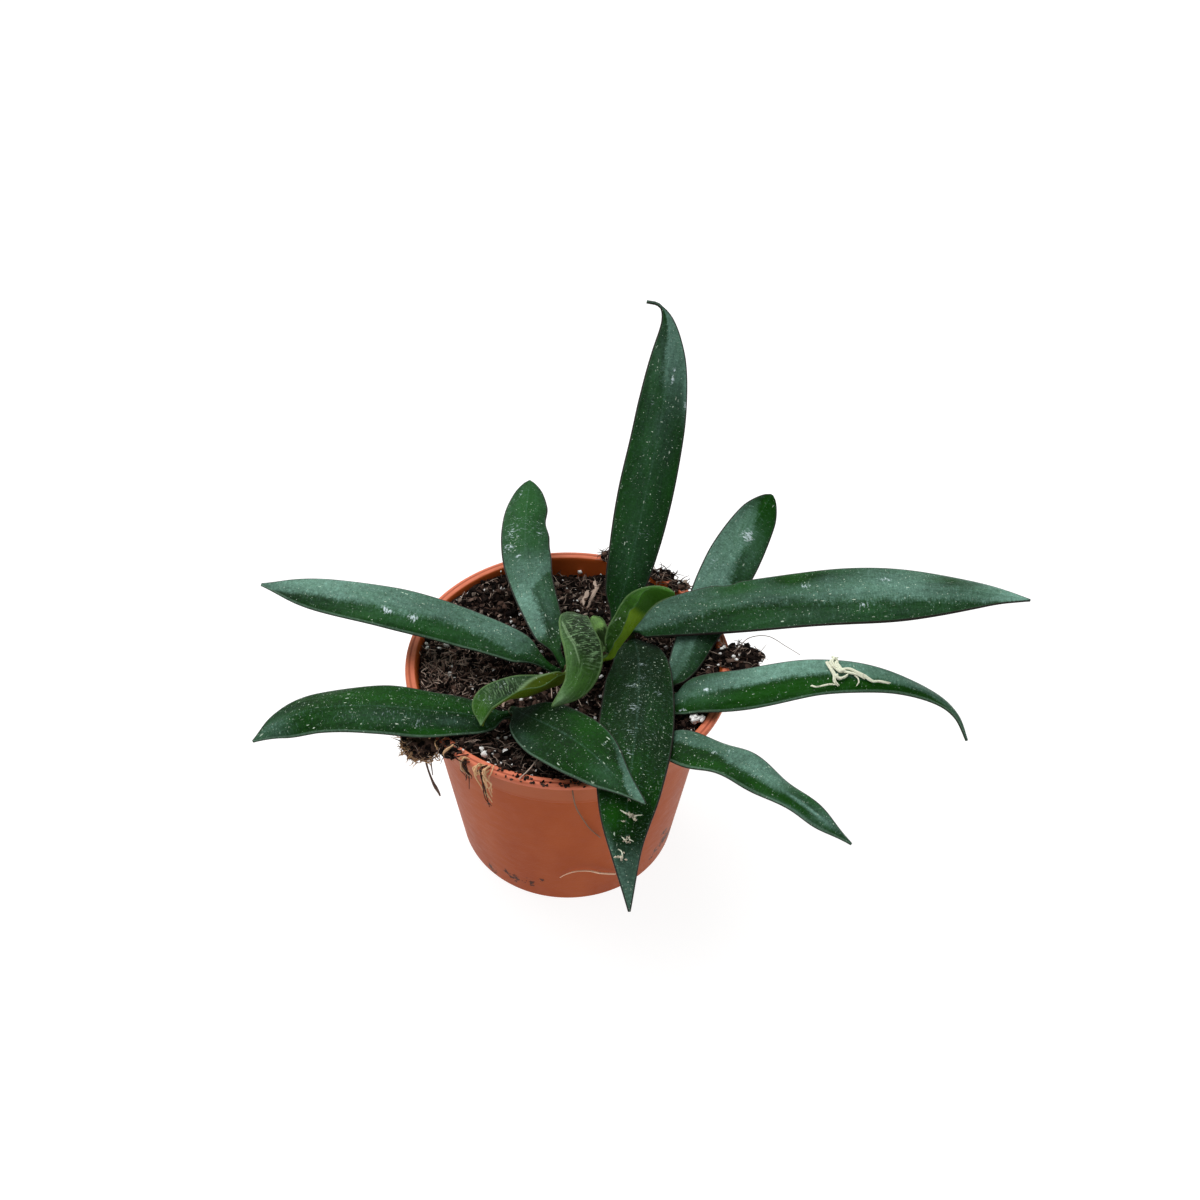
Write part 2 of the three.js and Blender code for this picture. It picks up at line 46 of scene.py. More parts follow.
studio = {
    "floorColour": (0.25, 0.25, 0.25),
    "floorGlow": 0.9,
    "floorReach": 4,
    "backLight": 0.6,
    "topLight": 0.2,
    "frontLight": 0.22,
    "backTint": (0.86, 1, 0.97),
    "softboxPower": 13,
    "softboxAt": (-0.3, 0.35, 0.95),
    "softboxSize": 1.1,
}


def makeCamera():
    lens = bpy.data.cameras.new("photoCamera")
    lens.lens = camera["lens"]
    lens.sensor_width = camera["sensor"]
    holder = bpy.data.objects.new("photoCamera", lens)
    tilt = Matrix.Rotation(math.radians(90 - camera["down"]), 4, "X")
    roll = Matrix.Rotation(math.radians(camera["roll"]), 4, "Z")
    holder.matrix_world = Matrix.Translation(Vector(camera["at"]) * mm) @ tilt @ roll
    bpy.context.scene.collection.objects.link(holder)
    bpy.context.scene.camera = holder
    print("camera set")


def makeStudio():
    scene = bpy.context.scene
    scene.view_settings.view_transform = "Standard"
    world = bpy.data.worlds.new("studioWorld")
    scene.world = world
    world.use_nodes = True
    tree = world.node_tree
    background = tree.nodes["Background"]
    parts = partsOf(tree, tree.nodes.new("ShaderNodeTexCoord").outputs["Generated"])
    # a bright wall low at the back, a dim ceiling and a dim side where the photo was taken from
    wall = rangeOf(tree, parts["Z"], 0.45, 0.7, 1, 0, True)
    wall = timesOf(tree, wall, rangeOf(tree, parts["Y"], -0.6, 0.6, 0, 1, True))
    dim = rangeOf(tree, parts["Y"], -1, 0.4, studio["frontLight"], studio["topLight"])
    strength = plusOf(tree, dim, timesOf(tree, wall, studio["backLight"]))
    tree.links.new(strength, background.inputs["Strength"])
    tree.links.new(blendOf(tree, wall, (1, 1, 1), studio["backTint"]), background.inputs["Color"])

    light = bpy.data.lights.new("softbox", "AREA")
    light.energy = studio["softboxPower"]
    light.size = studio["softboxSize"]
    holder = bpy.data.objects.new("softbox", light)
    holder.location = studio["softboxAt"]
    holder.rotation_euler = (-Vector(studio["softboxAt"])).to_track_quat("-Z", "Y").to_euler()
    scene.collection.objects.link(holder)

    mesh = bpy.data.meshes.new("floor")
    reach = studio["floorReach"]
    mesh.from_pydata([(-reach, -reach, 0), (reach, -reach, 0), (reach, reach, 0), (-reach, reach, 0)],
                     [], [(0, 1, 2, 3)])
    floor = bpy.data.objects.new("floor", mesh)
    paint, tree, surface = newFinish("floorPaint")
    surface.inputs["Base Color"].default_value = (*studio["floorColour"], 1)
    surface.inputs["Roughness"].default_value = 0.9
    surface.inputs["Specular IOR Level"].default_value = 0
    surface.inputs["Emission Color"].default_value = (1, 1, 1, 1)
    surface.inputs["Emission Strength"].default_value = studio["floorGlow"]
    mesh.materials.append(paint)
    scene.collection.objects.link(floor)
    print("studio made")


# small makers of shader nodes; each takes sockets or plain values and gives back a socket

def newFinish(name):
    finish = bpy.data.materials.new(name)
    finish.use_nodes = True
    return finish, finish.node_tree, finish.node_tree.nodes["Principled BSDF"]


def feed(tree, socket, value):
    if isinstance(value, bpy.types.NodeSocket):
        tree.links.new(value, socket)
    elif isinstance(value, (tuple, list)) and len(value) == 3 and socket.type == "RGBA":
        socket.default_value = (*value, 1)
    else:
        socket.default_value = value


def mathOf(tree, operation, first, second=0.0, clamp=False):
    node = tree.nodes.new("ShaderNodeMath")
    node.operation = operation
    node.use_clamp = clamp
    feed(tree, node.inputs[0], first)
    feed(tree, node.inputs[1], second)
    return node.outputs[0]


def plusOf(tree, first, second, clamp=False):
    return mathOf(tree, "ADD", first, second, clamp)


def timesOf(tree, first, second, clamp=False):
    return mathOf(tree, "MULTIPLY", first, second, clamp)


def sizeOf(tree, value):
    return mathOf(tree, "ABSOLUTE", value)


def objectPlace(tree):
    return tree.nodes.new("ShaderNodeTexCoord").outputs["Object"]


def rangeOf(tree, value, fromLow, fromHigh, toLow=0.0, toHigh=1.0, smooth=False):
    node = tree.nodes.new("ShaderNodeMapRange")
    node.interpolation_type = "SMOOTHSTEP" if smooth else "LINEAR"
    feed(tree, node.inputs["Value"], value)
    feed(tree, node.inputs["From Min"], fromLow)
    feed(tree, node.inputs["From Max"], fromHigh)
    feed(tree, node.inputs["To Min"], toLow)
    feed(tree, node.inputs["To Max"], toHigh)
    return node.outputs["Result"]


def blendOf(tree, share, first, second):
    node = tree.nodes.new("ShaderNodeMix")
    node.data_type = "RGBA"
    feed(tree, node.inputs[0], share)
    feed(tree, node.inputs[6], first)
    feed(tree, node.inputs[7], second)
    return node.outputs[2]


def stretched(tree, place, scale, turn=0.0):
    node = tree.nodes.new("ShaderNodeMapping")
    node.inputs["Scale"].default_value = scale
    node.inputs["Rotation"].default_value = (0, 0, turn)
    tree.links.new(place, node.inputs["Vector"])
    return node.outputs[0]


def cloudsOf(tree, place, scale, detail=3, roughness=0.55):
    node = tree.nodes.new("ShaderNodeTexNoise")
    tree.links.new(place, node.inputs["Vector"])
    node.inputs["Scale"].default_value = scale
    node.inputs["Detail"].default_value = detail
    node.inputs["Roughness"].default_value = roughness
    return node.outputs["Fac"]


def shaken(tree, place, scale, amount):
    # a place pushed about by clouds, so that what is drawn there gets ragged
    node = tree.nodes.new("ShaderNodeTexNoise")
    tree.links.new(place, node.inputs["Vector"])
    node.inputs["Scale"].default_value = scale
    node.inputs["Detail"].default_value = 3
    spread = tree.nodes.new("ShaderNodeVectorMath")
    spread.operation = "MULTIPLY_ADD"
    tree.links.new(node.outputs["Color"], spread.inputs[0])
    spread.inputs[1].default_value = (amount, amount, amount)
    tree.links.new(place, spread.inputs[2])
    return spread.outputs[0]


def cellsOf(tree, place, scale):
    node = tree.nodes.new("ShaderNodeTexVoronoi")
    tree.links.new(place, node.inputs["Vector"])
    node.inputs["Scale"].default_value = scale
    split = tree.nodes.new("ShaderNodeSeparateColor")
    tree.links.new(node.outputs["Color"], split.inputs[0])
    return node.outputs["Distance"], split.outputs[0], split.outputs[1]


def attributeOf(tree, name):
    node = tree.nodes.new("ShaderNodeAttribute")
    node.attribute_name = name
    return node.outputs["Vector"]


def partsOf(tree, value):
    node = tree.nodes.new("ShaderNodeSeparateXYZ")
    tree.links.new(value, node.inputs[0])
    return node.outputs


def roughened(tree, surface, height, distance, strength=1.0):
    node = tree.nodes.new("ShaderNodeBump")
    feed(tree, node.inputs["Height"], height)
    node.inputs["Distance"].default_value = distance
    node.inputs["Strength"].default_value = strength
    tree.links.new(node.outputs[0], surface.inputs["Normal"])


# small makers of meshes

def addPiece(name, points, faces, finish, stands=(), smooth=True, values=None):
    mesh = bpy.data.meshes.new(name)
    mesh.from_pydata([tuple(p) for p in points], [], [tuple(f) for f in faces])
    mesh.polygons.foreach_set("use_smooth", [smooth] * len(mesh.polygons))
    for key, rows in (values or {}).items():
        layer = mesh.attributes.new(key, "FLOAT_VECTOR", "POINT")
        layer.data.foreach_set("vector", np.asarray(rows, dtype=np.float32).ravel())
    mesh.materials.append(finish)
    piece = bpy.data.objects.new(name, mesh)
    bpy.context.scene.collection.objects.link(piece)
    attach(piece, "root")
    if stands:
        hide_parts(*stands)
    return piece


def skinFaces(rows, count, first=0):
    faces = []
    for row in range(rows - 1):
        for i in range(count):
            a = first + row * count + i
            b = first + row * count + (i + 1) % count
            faces.append((a, b, b + count, a + count))
    faces.append(tuple(first + i for i in reversed(range(count))))
    faces.append(tuple(first + (rows - 1) * count + i for i in range(count)))
    return faces


def smoothStep(share):
    t = np.clip(share, 0, 1)
    return t * t * (3 - 2 * t)


def smoothLine(points, rows):
    # a centripetal curve through the points, and its directions, at even steps of its length
    p = np.array(points, float)
    p = np.vstack([2 * p[0] - p[1], p, 2 * p[-1] - p[-2]])
    dense = []
    for i in range(1, len(p) - 2):
        gaps = [np.linalg.norm(p[i + j + 1] - p[i + j]) ** 0.5 for j in (-1, 0, 1)]
        leave = ((p[i] - p[i - 1]) / gaps[0] - (p[i + 1] - p[i - 1]) / (gaps[0] + gaps[1])
                 + (p[i + 1] - p[i]) / gaps[1]) * gaps[1]
        arrive = ((p[i + 1] - p[i]) / gaps[1] - (p[i + 2] - p[i]) / (gaps[1] + gaps[2])
                  + (p[i + 2] - p[i + 1]) / gaps[2]) * gaps[1]
        t = np.linspace(0, 1, 60, endpoint=False)[:, None]
        step = p[i + 1] - p[i]
        dense.append(p[i] + leave * t + (3 * step - 2 * leave - arrive) * t ** 2
                     + (leave + arrive - 2 * step) * t ** 3)
    dense = np.vstack([*dense, p[-2]])
    lengths = np.concatenate([[0], np.cumsum(np.linalg.norm(np.diff(dense, axis=0), axis=1))])
    slopes = np.gradient(dense, lengths, axis=0)
    wanted = np.linspace(0, lengths[-1], rows)
    places = np.stack([np.interp(wanted, lengths, dense[:, k]) for k in range(3)], axis=1)
    along = np.stack([np.interp(wanted, lengths, slopes[:, k]) for k in range(3)], axis=1)
    return places, along / np.linalg.norm(along, axis=1, keepdims=True), lengths[-1]


def tube(points, radii, sides=8, rows=24):
    # rings of points round a smooth line, with the radii spread evenly along it
    places, along, length = smoothLine(points, rows)
    widths = np.interp(np.linspace(0, 1, rows), np.linspace(0, 1, len(radii)), radii)
    turns = np.arange(sides) / sides * 2 * np.pi
    rings = []
    right = np.cross(along[0], (0.3, 0.5, 0.8))
    for place, way, width in zip(places, along, widths):
        right = right - way * right.dot(way)
        right = right / np.linalg.norm(right)
        front = np.cross(way, right)
        rings.append(place + width * (np.cos(turns)[:, None] * right + np.sin(turns)[:, None] * front))
    return np.vstack(rings) * mm, skinFaces(rows, sides)


class Heap:
    # many small shapes gathered into one mesh
    def __init__(self):
        self.points = []
        self.faces = []
        self.tones = []
        self.count = 0

    def add(self, points, faces, tone):
        self.points.append(np.asarray(points))
        self.faces.extend([tuple(i + self.count for i in face) for face in faces])
        self.tones.append(np.tile(tone, (len(points), 1)))
        self.count += len(points)

    def place(self, name, finish, slot, stands=(), smooth=True):
        return addPiece(name, np.vstack(self.points), self.faces, finish, stands, smooth,
                        {"tone": np.vstack(self.tones)})


# the leaves: the same midrib lines, widths and folds as the frame's, with a finer skin

widthPlaces = [0, 0.1, 0.25, 0.4, 0.55, 0.7, 0.85, 1]

leafShape = {
    "stalk": 0.09,
    "stalkRadius": 1.5,
    "flattens": (0.6, 1.9),
    "tipRound": 0,
    "tipFrom": 1,
    "dents": [],
    "tipThins": (0.7, 0.45),
    "leastWidth": 0.9,
    "fold": (4, 9),
    "curl": (8, 16),
    "wave": (0.6, 2.2, 0.1),
    "thickness": 1.9,
    "edgeThickness": 0.9,
    "rows": 90,
    "across": 22,
    "edgeSteps": 4,
}

leaves = {
    "leaf_tall_back": {
        "path": [(13.5, 2, 90), (15.5, 10, 95.5), (21, 24, 112), (26.7, 44, 134),
                 (31.5, 63, 154), (33.7, 80, 172), (32.6, 89, 181), (29.5, 91.8, 184.6),
                 (25, 92, 185.6)],
        "faces": [(0, -0.7, 0.7), (0.1, -0.75, 0.7)],
        "widths": [3, 14, 19, 21, 20.6, 19, 13.5, 1.4],
        "tipFrom": 0.95,
    },
    "leaf_long_right": {
        "path": [(22, 12.5, 92.5), (27, 13.6, 96), (34, 15, 98), (45, 17.3, 99.6), (60, 19.2, 102),
                 (82, 19.6, 106.5), (103, 19.5, 110), (132, 19.3, 112.5), (153, 19.3, 111.6),
                 (169, 17.6, 110)],
        "faces": [(0, -0.3, 1), (0, -0.1, 1)],
        "widths": [11, 17, 22, 25.2, 26, 23.6, 15.5, 1],
        "stalk": 0.02,
        "dents": [(-1, 0.25, 0.1, 0.035)],
    },
    "leaf_back_right": {
        "path": [(34.4, -13.8, 88.9), (38, -9, 88.9), (41.8, -1.7, 90.2), (48.5, 14, 94.4),
                 (51.7, 22, 95.5), (57, 34, 100), (67.6, 51.8, 110), (76.2, 62.4, 120)],
        "faces": [(0, -0.2, 1), (0, -0.7, 0.7)],
        "widths": [5, 11, 15, 18, 20, 20.8, 17.5, 10],
        "stalk": 0.05,
        "tipRound": 0.11,
    },
    "leaf_back_left": {
        "path": [(-1, -6.6, 91.6), (-3.8, -1.8, 93.4), (-10.3, 15.7, 97.5),
                 (-17.5, 38, 104), (-19, 55, 109), (-18.6, 78.4, 111.2)],
        "faces": [(0, -0.3, 1), (0, -0.1, 1)],
        "widths": [7, 12, 15.2, 17.2, 19, 19.2, 16.4, 7],
        "tipRound": 0.08,
        "dents": [(1, 0.74, 0.14, 0.1), (1, 0.5, -0.06, 0.12)],
    },
    "leaf_long_left": {
        "path": [(-1, -5.4, 87.6), (-6, -6, 90.5), (-17, -1.2, 96), (-40, 5, 102),
                 (-62, 7.8, 107), (-87, 11.2, 110), (-114, 16.5, 108)],
        "faces": [(0, -0.2, 1), (0, -0.1, 1)],
        "widths": [8, 14, 17.2, 18.2, 19.4, 18, 12.6, 1.4],
    },
    "leaf_low_left": {
        "path": [(-19, -25.6, 87.2), (-24.5, -28.5, 89.5), (-30, -31, 92), (-39, -32.4, 95),
                 (-50, -34.2, 98), (-64, -34.4, 99.6), (-88, -34.1, 96.5), (-99.5, -36.8, 92),
                 (-108.5, -41.6, 87.4)],
        "faces": [(0, -0.2, 1), (0, -0.1, 1)],
        "widths": [7, 14, 19, 20, 20, 18.3, 13.8, 1],
        "stalk": 0.05,
    },
    "leaf_short_front": {
        "path": [(-19, -26, 90), (-14.8, -30.8, 93.5), (-5.8, -39.6, 98), (0.2, -45.6, 100.5),
                 (8.8, -53.7, 101.4), (15.9, -61.6, 100.8), (27.4, -72.9, 98.8)],
        "faces": [(0, -0.2, 1), (0.1, -0.3, 1)],
        "widths": [9, 18, 23.5, 25, 22.8, 16.8, 8.7, 1],
        "stalk": 0.05,
    },
    "leaf_long_front": {
        "path": [(23, 14, 86.5), (24.3, 9.5, 89.6), (25.2, 2, 92), (25.6, -14, 94.5),
                 (24.7, -35.3, 96.8), (22.4, -61.8, 96.5), (21.4, -76, 89), (23.3, -94.5, 69)],
        "faces": [(0, 0.2, 1), (0, -0.6, 0.8)],
        "widths": [15, 22.5, 25.8, 27, 25.4, 20.2, 10, 1],
        "stalk": 0.03,
        "dents": [(1, 0.1, 0.18, 0.12)],
    },
    "leaf_curled_right": {
        "path": [(34, -15, 85.2), (38.3, -18, 88.6), (46, -19.9, 95.2), (61, -21, 100),
                 (88, -19.6, 106), (113, -21, 106), (131, -22.2, 98.5), (138.4, -24.9, 92.4),
                 (142.3, -30.7, 86)],
        "faces": [(0, -0.2, 1), (0.5, -0.1, 0.8)],
        "widths": [10, 15.2, 16.8, 16.8, 13.8, 8.8, 5.6, 1],
        "stalk": 0.025,
    },
    "leaf_low_right": {
        "path": [(28, -34, 89.2), (33, -38.3, 90.8), (42.3, -43.3, 93.7), (58.6, -53.6, 98),
                 (74.2, -65.3, 97), (86, -72.5, 92.8), (95.4, -78.7, 88)],
        "faces": [(0, 0.05, 1), (0.1, -0.1, 1), (0.2, -0.2, 1)],
        "widths": [11, 14.8, 15.6, 14.8, 12.5, 10, 7, 1],
        "stalk": 0.05,
        "wave": (1, 3, 0),
    },
    "young_leaf_left": {
        "path": [(0.7, -7.6, 93), (-2, -15, 95), (-6.4, -19, 96.5), (-13.5, -25, 98.5),
                 (-20.4, -28.8, 100.6), (-27.4, -32.2, 99.6), (-29.2, -38, 94.8)],
        "faces": [(0.1, 0.4, 0.9), (0, 0.4, 0.9), (-0.7, -0.2, 0.6)],
        "widths": [2.6, 7, 10, 13, 15.5, 16, 11.5, 1],
        "stalkRadius": 1.2,
        "fold": (-60, -8),
        "curl": (0, 0),
        "young": True,
    },
    "young_leaf_centre": {
        "path": [(11.8, -4.6, 97), (9, -2, 101), (5.5, 2.4, 105.5), (1.8, 4.6, 109.2),
                 (2.9, -5.5, 112), (5.2, -14, 112), (5.8, -20.8, 109.4), (3.2, -27, 104.6),
                 (-4.8, -32.2, 99)],
        "faces": [(0, 0.8, 0.6), (0, 0, 1), (0, -0.8, 0.6)],
        "widths": [2.4, 4.8, 10.6, 12.8, 13.8, 12.8, 8.4, 1],
        "stalkRadius": 1.1,
        "wave": (0.2, 2, 0),
        "across": 64,
        "young": True,
    },
    "young_leaf_right": {
        "path": [(12.3, -5, 95.8), (15, -6.5, 99), (17.3, -4, 101.8), (21, 0, 105),
                 (25, 4, 109), (30, 7, 114), (37, 4, 121)],
        "faces": [(0, 0.4, 0.9), (0, 0.4, 0.9)],
        "widths": [2.6, 8, 14, 16, 16, 14, 9, 1],
        "stalkRadius": 1.2,
        "fold": (-60, -50),
        "curl": (0, 0),
        "young": True,
    },
    "tip_sprout": {
        "path": [(12.9, -4.2, 98.6), (12.9, -1.6, 101.5), (11, 0.8, 105), (8.2, 3, 109)],
        "faces": [(0, -0.7, 0.7), (0, -0.7, 0.7)],
        "widths": [1.6, 2.5, 4, 5, 5.8, 6.2, 5.2, 1.4],
        "stalkRadius": 0.8,
        "thickness": 1.2,
        "young": True,
    },
}


def curveThrough(places, values, share):
    # a smooth curve through values at rising places
    x = np.array(places, float)
    y = np.array(values, float)
    last = len(x) - 1
    i = np.clip(np.searchsorted(x, share, side="left") - 1, 0, last - 1)
    length = x[i + 1] - x[i]
    t = (share - x[i]) / length
    before = np.maximum(0, i - 1)
    after = np.minimum(last, i + 2)
    leave = (y[i + 1] - y[before]) / (x[i + 1] - x[before]) * length
    arrive = (y[after] - y[i]) / (x[after] - x[i]) * length
    step = y[i + 1] - y[i]
    return y[i] + leave * t + (3 * step - 2 * leave - arrive) * t ** 2 + (leave + arrive - 2 * step) * t ** 3


def directionAt(directions, share):
    place = share * (len(directions) - 1)
    i = min(len(directions) - 2, int(place))
    first = np.array(directions[i], float)
    return first + (np.array(directions[i + 1], float) - first) * (place - i)


def leafSkin(leaf):
    # one closed skin: rings from stalk to tip, over the upper side and back underneath
    rows = leaf["rows"]
    shares = np.linspace(0, 1, rows)
    places, along, length = smoothLine(leaf["path"], rows)
    blade = np.maximum(0, (shares - leaf["stalk"]) / (1 - leaf["stalk"]))
    past = np.maximum(0, blade - 1 + leaf["tipRound"]) / (leaf["tipRound"] or 1)
    halves = curveThrough(widthPlaces, leaf["widths"], np.minimum(1, blade / leaf["tipFrom"])) / 2
    halves = halves * np.sqrt(1 - past ** 2 * 0.98)
    halves = np.maximum(leaf["leastWidth"] / 2, halves)
    start, end = leaf["flattens"]
    flats = smoothStep((shares / leaf["stalk"] - start) / (end - start))
    thinFrom, thinBy = leaf["tipThins"]
    thins = 1 - thinBy * smoothStep((blade - thinFrom) / (1 - thinFrom))
    waveHeight, waveCount, waveStart = leaf["wave"]
    points, sizes, ratios, edges = [], [], [], []
    for row in range(rows):
        side = np.cross(along[row], directionAt(leaf["faces"], shares[row]))
        side = side / np.linalg.norm(side)
        up = np.cross(side, along[row])
        half, flat, b = halves[row], flats[row], blade[row]
        edge = min(0.8, leaf["edgeThickness"] * thins[row] / 2 / half)
        inner = np.linspace(edge - 1, 1 - edge, leaf["across"] + 1)
        swing = np.linspace(0, np.pi / 2, leaf["edgeSteps"] + 1)[1:]
        outer = 1 - edge + edge * np.sin(swing)
        s = np.concatenate([-outer[::-1], inner, outer])
        close = np.concatenate([np.cos(swing[::-1]), np.ones(len(inner)), np.cos(swing)])
        close[0] = close[-1] = 0
        fold = math.radians(leaf["fold"][0] + (leaf["fold"][1] - leaf["fold"][0]) * b)
        curl = math.radians(leaf["curl"][0] + (leaf["curl"][1] - leaf["curl"][0]) * b)
        angle = fold + curl * np.abs(s) / 2
        phase = 2 * np.pi * (waveCount * b + waveStart)
        wave = waveHeight * s * s * np.sin(phase + s) * min(1, half / 4)
        dent = sum(depth * smoothStep(1 - abs(b - at) / reach) * smoothStep(s * way)
                   for way, at, depth, reach in leaf["dents"])
        x = half * s * np.cos(angle) * (1 - dent)
        y = wave - half * np.abs(s) * np.sin(angle)
        thick = (leaf["thickness"] + (leaf["edgeThickness"] - leaf["thickness"]) * s * s) * thins[row]
        turn = np.pi * (1 - (np.arange(len(s)) / (len(s) - 1)))
        roundX = leaf["stalkRadius"] * np.cos(turn)
        roundY = leaf["stalkRadius"] * np.sin(turn)
        upper = np.stack([roundX + (x - roundX) * flat,
                          roundY + (y - thick / 2 * (1 - close) - roundY) * flat], axis=1)
        under = np.stack([roundX + (x - roundX) * flat,
                          -roundY + (y - thick / 2 * (1 + close) + roundY) * flat], axis=1)
        ring = np.vstack([upper, under[-2:0:-1]])
        ringS = np.concatenate([s, s[-2:0:-1]])
        isUnder = np.concatenate([np.zeros(len(s)), np.ones(len(s) - 2)])
        points.append(places[row] + ring[:, :1] * side + ring[:, 1:] * up)
        sizes.append(np.stack([ring[:, 0], np.full(len(ring), shares[row] * length), isUnder * 3], axis=1))
        ratios.append(np.stack([ringS, np.full(len(ring), b), isUnder], axis=1))
        edges.append(np.stack([(1 - np.abs(ringS)) * half, np.sign(ringS), np.zeros(len(ring))], axis=1))
    count = len(points[0])
    return (np.vstack(points) * mm, skinFaces(rows, count),
            np.vstack(sizes), np.vstack(ratios), np.vstack(edges))


leafLook = {
    "deepGreen": (0.005, 0.02, 0.004),
    "freshGreen": (0.009, 0.07, 0.003),
    # the pale blue-green of the waxy bloom and of the painted sheen
    "waxAndSheenGreen": (0.205, 0.39, 0.312),
    "underGreen": (0.045, 0.1, 0.03),
    # margins: painted light and painted shade on the rounded edge, the dark one partly the edge's own colour
    "marginPale": (0.15, 0.25, 0.18),
    "marginDark": (0.028, 0.016, 0.018),
    "fleckColour": (0.66, 0.8, 0.64),
    "glintColour": (0.62, 0.76, 0.78),
    "roughness": (0.26, 0.4),
    "specular": 0.05,
    "specularTint": (0.75, 1, 0.9),
    "grain": 0.9,
    "sheenRagged": (0.3, 0.4),  # by patches and by streaks
    "sheenFrom": (0.17, 0.52),
    "midrib": (0.01, 0.05, 0.08),  # half width, where it has faded, strength
    "glintFrom": (0.6, 0.72),
    "paleMargin": ((1.0, 0.95), (0.2, 0.6)),  # widths in mm and strengths, plain and pale side
    "darkMargin": (0.62, 0.12),  # widths in mm, plain and pale side
}

youngLook = {
    **leafLook,
    "deepGreen": (0.018, 0.05, 0.01),
    "freshGreen": (0.04, 0.13, 0.012),
    "waxAndSheenGreen": (0.17, 0.3, 0.14),
    "vividGreen": (0.09, 0.17, 0.004),
    # painted shade in the wrinkles
    "wrinkleShade": (0.012, 0.022, 0.008),
    "underGreen": (0.16, 0.32, 0.012),
    "marginPale": (0.3, 0.46, 0.24),
    "marginDark": (0.1, 0.18, 0.06),
}

sproutLook = {
    **youngLook,
    "deepGreen": (0.03, 0.06, 0.016),
    # a very light fresh green: the sprout's own colour, set lighter as painted light where the young leaves
    # shade it
    "freshGreen": (0.42, 0.78, 0.22),
    "underGreen": (0.2, 0.36, 0.1),
}
